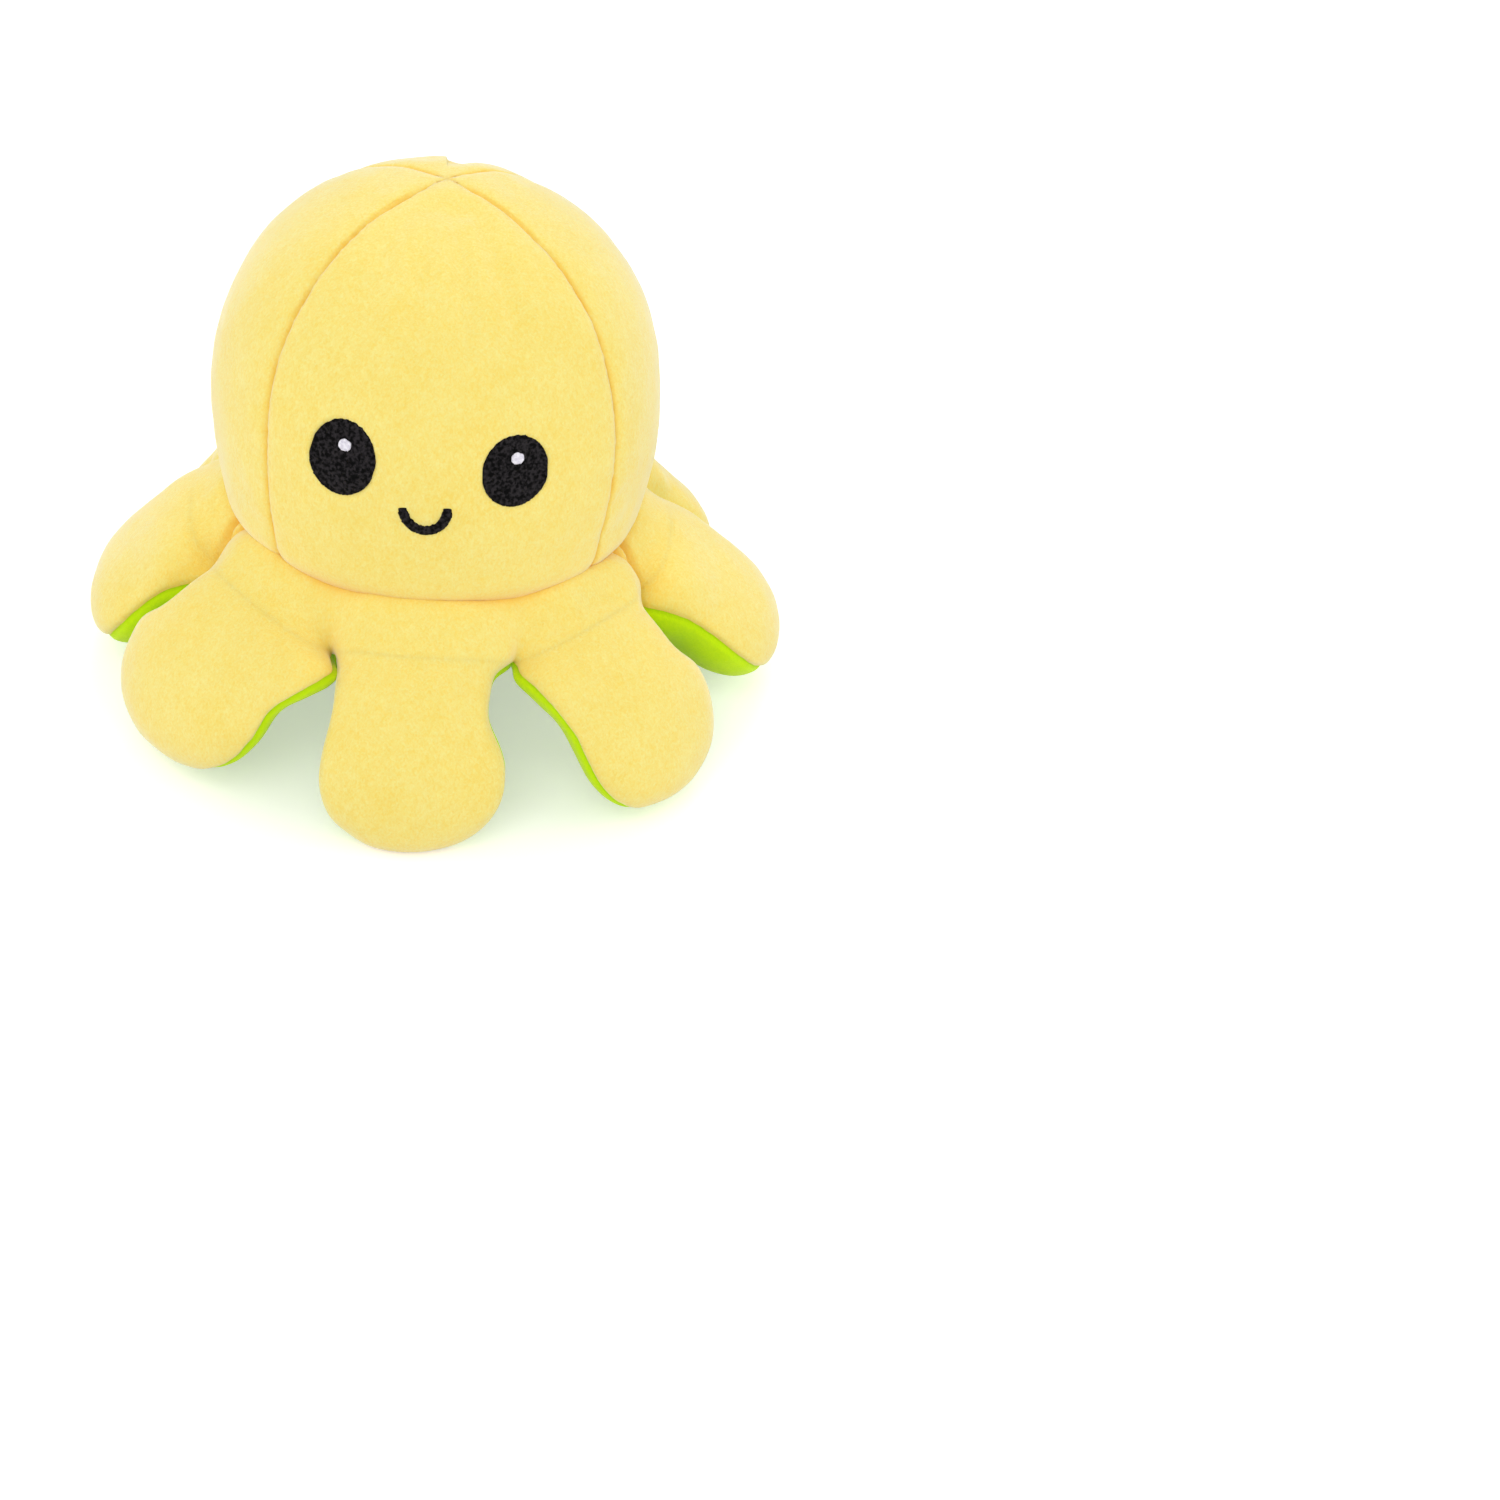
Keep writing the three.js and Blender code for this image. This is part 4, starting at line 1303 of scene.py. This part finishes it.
def limb_points(limb, side, across, along):
    """Points of a tentacle below the notches; across is -1 to 1 and along is 0 to 1."""
    share, wide, edge = place_on_outline(limb, across, along)
    boxy = 2 + 2.2 * (1 - rising(share, NOTCH_SHARE, BOXY_SHARE))
    high = thickness(limb, share) * superellipse(edge, boxy)
    if side < 0:
        high *= 1 + (limb.shape.belly - 1) * rising(share, NOTCH_SHARE, BELLY_SHARE)
    base = middle(limb, share) + side * high[..., None] * upward(limb, share)
    near = 1 - rising(share, NOTCH_SHARE, SKIRT_SHARE)
    to_notch = np.abs(across) ** 3 * near
    fan = NOTCH_RADIUS * (1 - np.cos(across * side_angle(limb, across))) * near
    notch_reach = middle(limb, np.full_like(share, NOTCH_SHARE))[..., 0]
    reach = base[..., 0] - fan + (NOTCH_RADIUS - notch_reach) * to_notch
    other = by_side(across, (notch_height(limb.after), notch_height(limb.before)))
    level = ((other - notch_height(limb)) / 2 - NOTCH_DROP) * to_notch
    past = np.clip((share - NOTCH_SHARE) / (1 - NOTCH_SHARE), 0, 1)
    aside = limb.shape.sway * past**1.5
    begun = rising(share, NOTCH_SHARE, WAIST_SHARE - NOTCH_SHARE)
    ended = 1 - rising(share, limb.shape.paddle_share, 1 - limb.shape.paddle_share)
    curl = by_side(across, limb.shape.curl) * (across * edge) ** 2 * begun * ended
    return np.stack([reach, wide + aside, base[..., 1] + level + curl], -1)


# %% [markdown]
# Between the neck and the notches the sheets hang from the head. Each column there is one cubic
# curve. It leaves the neck the way the sewn cloth does, swells over the root of the tentacle, and
# arrives in the tentacle's own direction, so that no crease shows where one grid ends.

# %% Root points
NECK_FILL = 4.5 * MM
SKIRT_RIM_DROP = 2.6 * MM
RIM_INSET = 2 * MM
MOUTH_RADIUS = 39.5 * MM
MOUTH_DROP = 24 * MM
LEAVING = 7.5 * MM
ARRIVING = {1: 10 * MM, -1: 9 * MM}
IN_VALLEY = (0.35, 0.94, 8 * MM)
UNDER_VALLEY = (0.94, -0.34, 9 * MM)
DOWN = np.array((0, 0, -1.0))


def to_limb(limb, points):
    free = points - np.array(AXIS)
    return np.stack([free @ np.array(limb.way), free @ np.array(limb.across), free[..., 2]], -1)


def from_limb(limb, points):
    turn = np.array((limb.way, limb.across, (0, 0, 1.0)))
    return np.array(AXIS) + points @ turn


def neck_points(limb, across, radius, rise):
    """Points on a circle round the head's axis, in the tentacle's own directions."""
    azimuth = limb.azimuth + across * side_angle(limb, across)
    local = np.stack([radius * np.sin(azimuth), -radius * np.cos(azimuth), rise + 0 * azimuth], -1)
    return to_limb(limb, from_head(local))


def root_points(limb, side, across, along):
    """Points between the neck (along 0) and the notches (along 1)."""
    end = limb_points(limb, side, across, np.zeros_like(across))
    beyond = limb_points(limb, side, across, np.full_like(across, 0.02))
    azimuth = across * side_angle(limb, across)
    radial = np.stack([np.cos(azimuth), np.sin(azimuth), 0 * azimuth], -1)
    if side > 0:
        start = neck_points(limb, across, NECK_RADIUS - NECK_TUCK - RIM_INSET, -SKIRT_RIM_DROP)
        swelling = limb.shape.bump * (1 - across**2) ** 2 + NECK_FILL
        leave = start + radial * LEAVING - swelling[:, None] * DOWN
        out, down, length = IN_VALLEY
    else:
        start = neck_points(limb, across, MOUTH_RADIUS, -1 * MM)
        leave = start + DOWN * MOUTH_DROP
        out, down, length = UNDER_VALLEY
    in_valley = end - (out * radial + down * DOWN) * length
    at_edge = (np.abs(across) ** 4)[:, None]
    arrive = (end - unit(beyond - end) * ARRIVING[side]) * (1 - at_edge) + in_valley * at_edge
    t = along[:, None]
    return (1 - t) ** 3 * start + 3 * t * (1 - t) ** 2 * leave + 3 * t**2 * (1 - t) * arrive + t**3 * end


# %% [markdown]
# Sixteen grids, an upper and a lower one for each tentacle, are laid on those points and joined
# where they meet. The result is one closed skin but for the neck. Each face is numbered by the
# piece of cloth that it belongs to, and is yellow or green.

# %% Skirt and tentacles as one skin
SKIRT_TOP, SKIRT_UNDER = 0, 1
ROOT_ROWS = 8
LIMB_ROWS = 22
COLUMNS = 18
SEWN = 0.05 * MM


def panel_number(limb, side, in_root):
    if in_root:
        return SKIRT_TOP if side > 0 else SKIRT_UNDER
    return 2 + limb.number + (0 if side > 0 else 8)


def is_green(number):
    return number == SKIRT_UNDER or number >= 10


def colours_differ(one, other):
    return is_green(one) != is_green(other)


def sheet_grid(bm, limb, side):
    rows = ROOT_ROWS + LIMB_ROWS
    made = bmesh.ops.create_grid(bm, x_segments=COLUMNS, y_segments=rows, size=1)["verts"]
    flat = np.array([vert.co for vert in made])
    across = flat[:, 0]
    row = (flat[:, 1] + 1) / 2 * rows
    root = root_points(limb, side, across, np.clip(row / ROOT_ROWS, 0, 1))
    lower = limb_points(limb, side, across, np.clip((row - ROOT_ROWS) / LIMB_ROWS, 0, 1))
    points = from_limb(limb, np.where((row < ROOT_ROWS + 0.01)[:, None], root, lower))
    faces = {face for vert in made for face in vert.link_faces}
    for face in faces:
        height = (face.calc_center_median().y + 1) / 2 * rows
        face.material_index = panel_number(limb, side, height < ROOT_ROWS)
    for vert, point in zip(made, points):
        vert.co = point
    if side < 0:
        bmesh.ops.reverse_faces(bm, faces=list(faces))


bm = bmesh.new()
for limb in limbs:
    for side in (1, -1):
        sheet_grid(bm, limb, side)
bmesh.ops.remove_doubles(bm, verts=bm.verts, dist=SEWN)
bmesh.ops.recalc_face_normals(bm, faces=bm.faces)
rim = [index for index, vert in enumerate(bm.verts) if vert.is_boundary]
skin = as_object("skin", bm, *[GREEN if is_green(number) else YELLOW for number in range(18)])
print("skirt skin", len(skin.data.polygons), "faces,", len(rim), "points on its open rims")

# %% [markdown]
# The stuffing bulges this skin too. It is held only round the neck and round the mouth, where it
# is sewn to the two heads, so the tentacles swell freely.

# %% Skirt swelling
SKIRT_SWELL = 2.5 * MM

inflate(skin, rim, PRESSURE, SKIRT_SWELL)
print("skirt held at", len(rim), "points")

# %% [markdown]
# Between two tentacles the skirt dips softly, so the top is smoothed there with a modifier that
# works only where a vertex group says so. The seams stay as they are.

# %% Valleys
VALLEY_HALF = 10 * MM
VALLEY_ROUNDS = 14
VALLEY_SEAM = 5 * MM


def round_axis(points):
    """Angle round the toy's axis, distance from it, and height."""
    free = points - np.array(AXIS)
    return *polar(free), free[:, 2]


def beside_notch(limb, azimuth, radius):
    """How far aside points lie from the line between this tentacle and the next."""
    where = limb.azimuth + limb.to_next
    return radius * ((azimuth - where + math.pi) % FULL_TURN - math.pi)


def soften_valleys():
    azimuth, radius, height = round_axis(points_of(skin))
    weight = np.zeros(len(radius))
    for limb in limbs:
        aside = np.abs(beside_notch(limb, azimuth, radius))
        weight = np.maximum(weight, 1 - rising(aside, 0.6 * VALLEY_HALF, 0.4 * VALLEY_HALF))
    weight *= normals_of(skin)[:, 2] > 0.15
    weight *= rising(radius, 56 * MM, 3 * MM) * falling(radius, 76 * MM, 8 * MM)
    weight *= rising(height, 44 * MM, 3 * MM)
    weight *= rising(seam_distance(skin, colours_differ), 0, VALLEY_SEAM)
    group = skin.vertex_groups.new(name="valley")
    for index in np.flatnonzero(weight > 0.01):
        group.add([int(index)], float(weight[index]), "REPLACE")
    smooth = skin.modifiers.new("valley", "SMOOTH")
    smooth.vertex_group = "valley"
    smooth.factor = 0.5
    smooth.iterations = VALLEY_ROUNDS
    apply_modifiers(skin)
    skin.vertex_groups.clear()
    print("valleys softened at", int((weight > 0.01).sum()), "points")


soften_valleys()

# %% [markdown]
# The skirt and the tentacles are stuffed with the same loose fibre. Its form is the skin's own,
# drawn in by a gap, and it is closed where a tentacle's stuffing meets the skirt's. A scaled copy
# of the skin would be too close in the narrow places and too far away in the wide ones.

# %% Stuffing
STUFFING_GAP = 2.6 * MM
SKIRT_STUFFING_GAP = 5.4 * MM


def belongs(edge, numbers):
    return len({face.material_index in numbers for face in edge.link_faces}) == 2


def stuff(name, numbers, joins, gap):
    """Stuffing for the part of the skin with these material numbers. joins are the numbers of
    each neighbour that it meets at a ring of edges."""
    bm = bmesh.new()
    bm.from_mesh(skin.data)
    border = [edge for edge in bm.edges if belongs(edge, numbers)]
    rings = [[edge for edge in border if belongs(edge, near)] for near in joins]
    outer = [face for face in bm.faces if face.material_index not in numbers]
    bmesh.ops.delete(bm, geom=outer, context="FACES")
    bm.normal_update()
    shift = {vert: vert.normal * gap for vert in bm.verts}
    for vert, move in shift.items():
        vert.co -= move
    for ring in rings:
        bmesh.ops.edgeloop_fill(bm, edges=ring)
    open_rims = [edge for edge in bm.edges if edge.is_boundary]
    if open_rims:
        bmesh.ops.bridge_loops(bm, edges=open_rims)
    bmesh.ops.recalc_face_normals(bm, faces=bm.faces)
    for face in bm.faces:
        face.material_index = 0
    piece = as_object(name, bm, STUFFING)
    subdivide(piece, 1)
    roughen(piece, 5 * MM, 21)
    return piece


skirt_numbers = {SKIRT_TOP, SKIRT_UNDER}
limb_numbers = [{panel_number(limb, side, False) for side in (1, -1)} for limb in limbs]
skirt_stuffing = stuff("skirt_stuffing", skirt_numbers, limb_numbers, SKIRT_STUFFING_GAP)
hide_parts("skirt_filling")
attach(skirt_stuffing, "body")
limb_stuffing = [
    stuff(f"{limb.name}_tentacle_stuffing", numbers, [skirt_numbers], STUFFING_GAP)
    for limb, numbers in zip(limbs, limb_numbers)
]
report_time("stuffing")

# %% [markdown]
# Now the fine form. The yellow and the green sheet roll into the seam along every edge. Where the
# skirt is bunched up between two tentacles, two short folds run down to the notch. The tentacles
# stand on the floor and are pressed flat by the toy's own weight, which a soft curve on the height
# does without a collision.

# %% Folds and seams
EDGE_DEPTH = 0.9 * MM
EDGE_WIDTH = 1.0 * MM
FLOOR_SOFTNESS = 2.5 * MM
FLOOR_SINK = 2.2 * MM
SINK_REACH = 12 * MM
FLOOR_REST = 0.4 * MM
GUSSETS = {
    "front_right": 3.2 * MM, "right": 3 * MM, "back_right": 3 * MM, "back": 2.5 * MM,
    "back_left": 3 * MM, "left": 3.2 * MM,
}
GUSSET_HALF = 2.6 * MM
FOLD_WIDTH = 1.3 * MM


def gusset_folds(points):
    """Two folds run down from the neck to each notch where the skirt is bunched up."""
    azimuth, radius, height = round_axis(points)
    reach = rising(radius, 55 * MM, 4 * MM) * falling(radius, 66 * MM, 4 * MM)
    lean = GUSSET_HALF * (1 - 0.6 * rising(radius, 58 * MM, 8 * MM))
    total = np.zeros(len(points))
    for limb in limbs:
        aside = beside_notch(limb, azimuth, radius)
        for side in (-1, 1):
            total += GUSSETS.get(limb.name, 0) * bell(aside - side * lean, FOLD_WIDTH)
    return total * reach * rising(height, 40 * MM, 6 * MM)


def settle(height):
    """Rounds what lies lower than the floor up to it, softly."""
    height = height - FLOOR_SINK * np.exp(-np.maximum(height, 0) / SINK_REACH)
    low = FLOOR_SOFTNESS * np.exp(np.minimum(height / FLOOR_SOFTNESS - 1, 0))
    return np.maximum(np.where(height < FLOOR_SOFTNESS, low, height) - FLOOR_REST, 0)


def sculpt_skin():
    points = points_of(skin)
    outside = normals_of(skin)
    groove = bell(seam_distance(skin, colours_differ), EDGE_WIDTH, 1.4)
    uneven = 1 + 0.4 * lumps(points, 3.5 * MM, 7)
    swell = 0.6 * MM * lumps(points, 22 * MM, 5) + 0.2 * MM * lumps(points, 7 * MM, 6)
    top = outside[:, 2] > 0
    fold = gusset_folds(points) * top
    moved = points + outside * (swell - EDGE_DEPTH * groove * uneven - fold)[:, None]
    moved[:, 2] = settle(moved[:, 2])
    put_points(skin, moved)
    # Painted shade in the seam grooves, in the gusset folds, and on the top beside the neck, under the
    # head's overhang.
    local = to_head(points)
    from_seam = np.maximum(polar(local)[1] - NECK_RADIUS + RIM_INSET, 0)
    shade_under_head = np.exp(-from_seam / (1.2 * MM)) * (local[:, 2] > -8 * MM)
    set_crease_shade(skin, 0.5 * groove + 0.6 * shade_under_head * top + 0.25 * fold / MM)
    print("folds up to", round(float(fold.max() / MM), 1), "mm deep")


subdivide(skin, 2)
sculpt_skin()
keep_outside(skin)
report_time("sculpting")

# %% [markdown]
# The sculpted skin has moved a little since the stuffing was made, so what would come through the
# cloth is drawn back under it. At the notches the folded cloth leaves hardly any room, and the
# stuffing is flattened there.

# %% Stuffing held inside
STUFFING_DEPTH = 2.2 * MM
NOTCH_ROOM = 6 * MM
NOTCH_FLATTENING = 0.75


def thin_at_notches(piece):
    """Flattens the stuffing where two tentacles part."""
    co = points_of(piece)
    azimuth, radius, _ = round_axis(co)
    reach = rising(radius, 34 * MM, 8 * MM) * falling(radius, 76 * MM, 8 * MM)
    for limb in limbs:
        near = reach * bell(beside_notch(limb, azimuth, radius), NOTCH_ROOM)
        if near.max() > 0.5:
            co[:, 2] += NOTCH_FLATTENING * near * (co[near > 0.5, 2].mean() - co[:, 2])
    put_points(piece, co)


def hold_inside(piece, surface):
    """Draws the stuffing that would come through the cloth back under it."""
    co = points_of(piece)
    drawn = 0
    for index, point in enumerate(co):
        near, normal, _, _ = surface.find_nearest(Vector(point))
        height = (Vector(point) - near).dot(normal)
        if height > -STUFFING_DEPTH:
            co[index] = near - normal * STUFFING_DEPTH
            drawn += 1
    put_points(piece, co)
    return drawn


skin_surface = surface_of(skin)
drawn = []
for piece in (skirt_stuffing, *limb_stuffing):
    drawn.append(hold_inside(piece, skin_surface))
    thin_at_notches(piece)
print("stuffing points drawn back", drawn)

# %% [markdown]
# The skirt's two sheets ride on the body. A tentacle's cloth is cut from the same skin as the
# skirt, so it meets the skirt at the notches. Its cloth and its stuffing keep the place where they
# were made, baked into their meshes, and are not attached to the tentacle's joint.

# %% Tentacle pieces
SHEETS = (("top", 1, YELLOW_SLOT), ("underside", -1, GREEN_SLOT))


def place_sheet(node, number, slot):
    piece = cut_out(skin, f"{node}_plush", {number}, slot)
    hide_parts(node)
    return piece


def bend_with(piece):
    """Bakes the piece's place into its mesh. It is not attached to any body."""
    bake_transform(piece)


for (part, _, slot), number in zip(SHEETS, (SKIRT_TOP, SKIRT_UNDER)):
    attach(place_sheet(f"skirt_{part}", number, slot), "body")
for limb, filling in zip(limbs, limb_stuffing):
    for part, side, slot in SHEETS:
        node = f"{limb.name}_tentacle_{part}"
        bend_with(place_sheet(node, panel_number(limb, side, False), slot))
    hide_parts(f"{limb.name}_tentacle_filling")
    bend_with(filling)
bpy.data.objects.remove(skin)
report_time("skirt")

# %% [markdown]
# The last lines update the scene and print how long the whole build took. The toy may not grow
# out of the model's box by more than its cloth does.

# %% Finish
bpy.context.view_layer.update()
report_time("all")
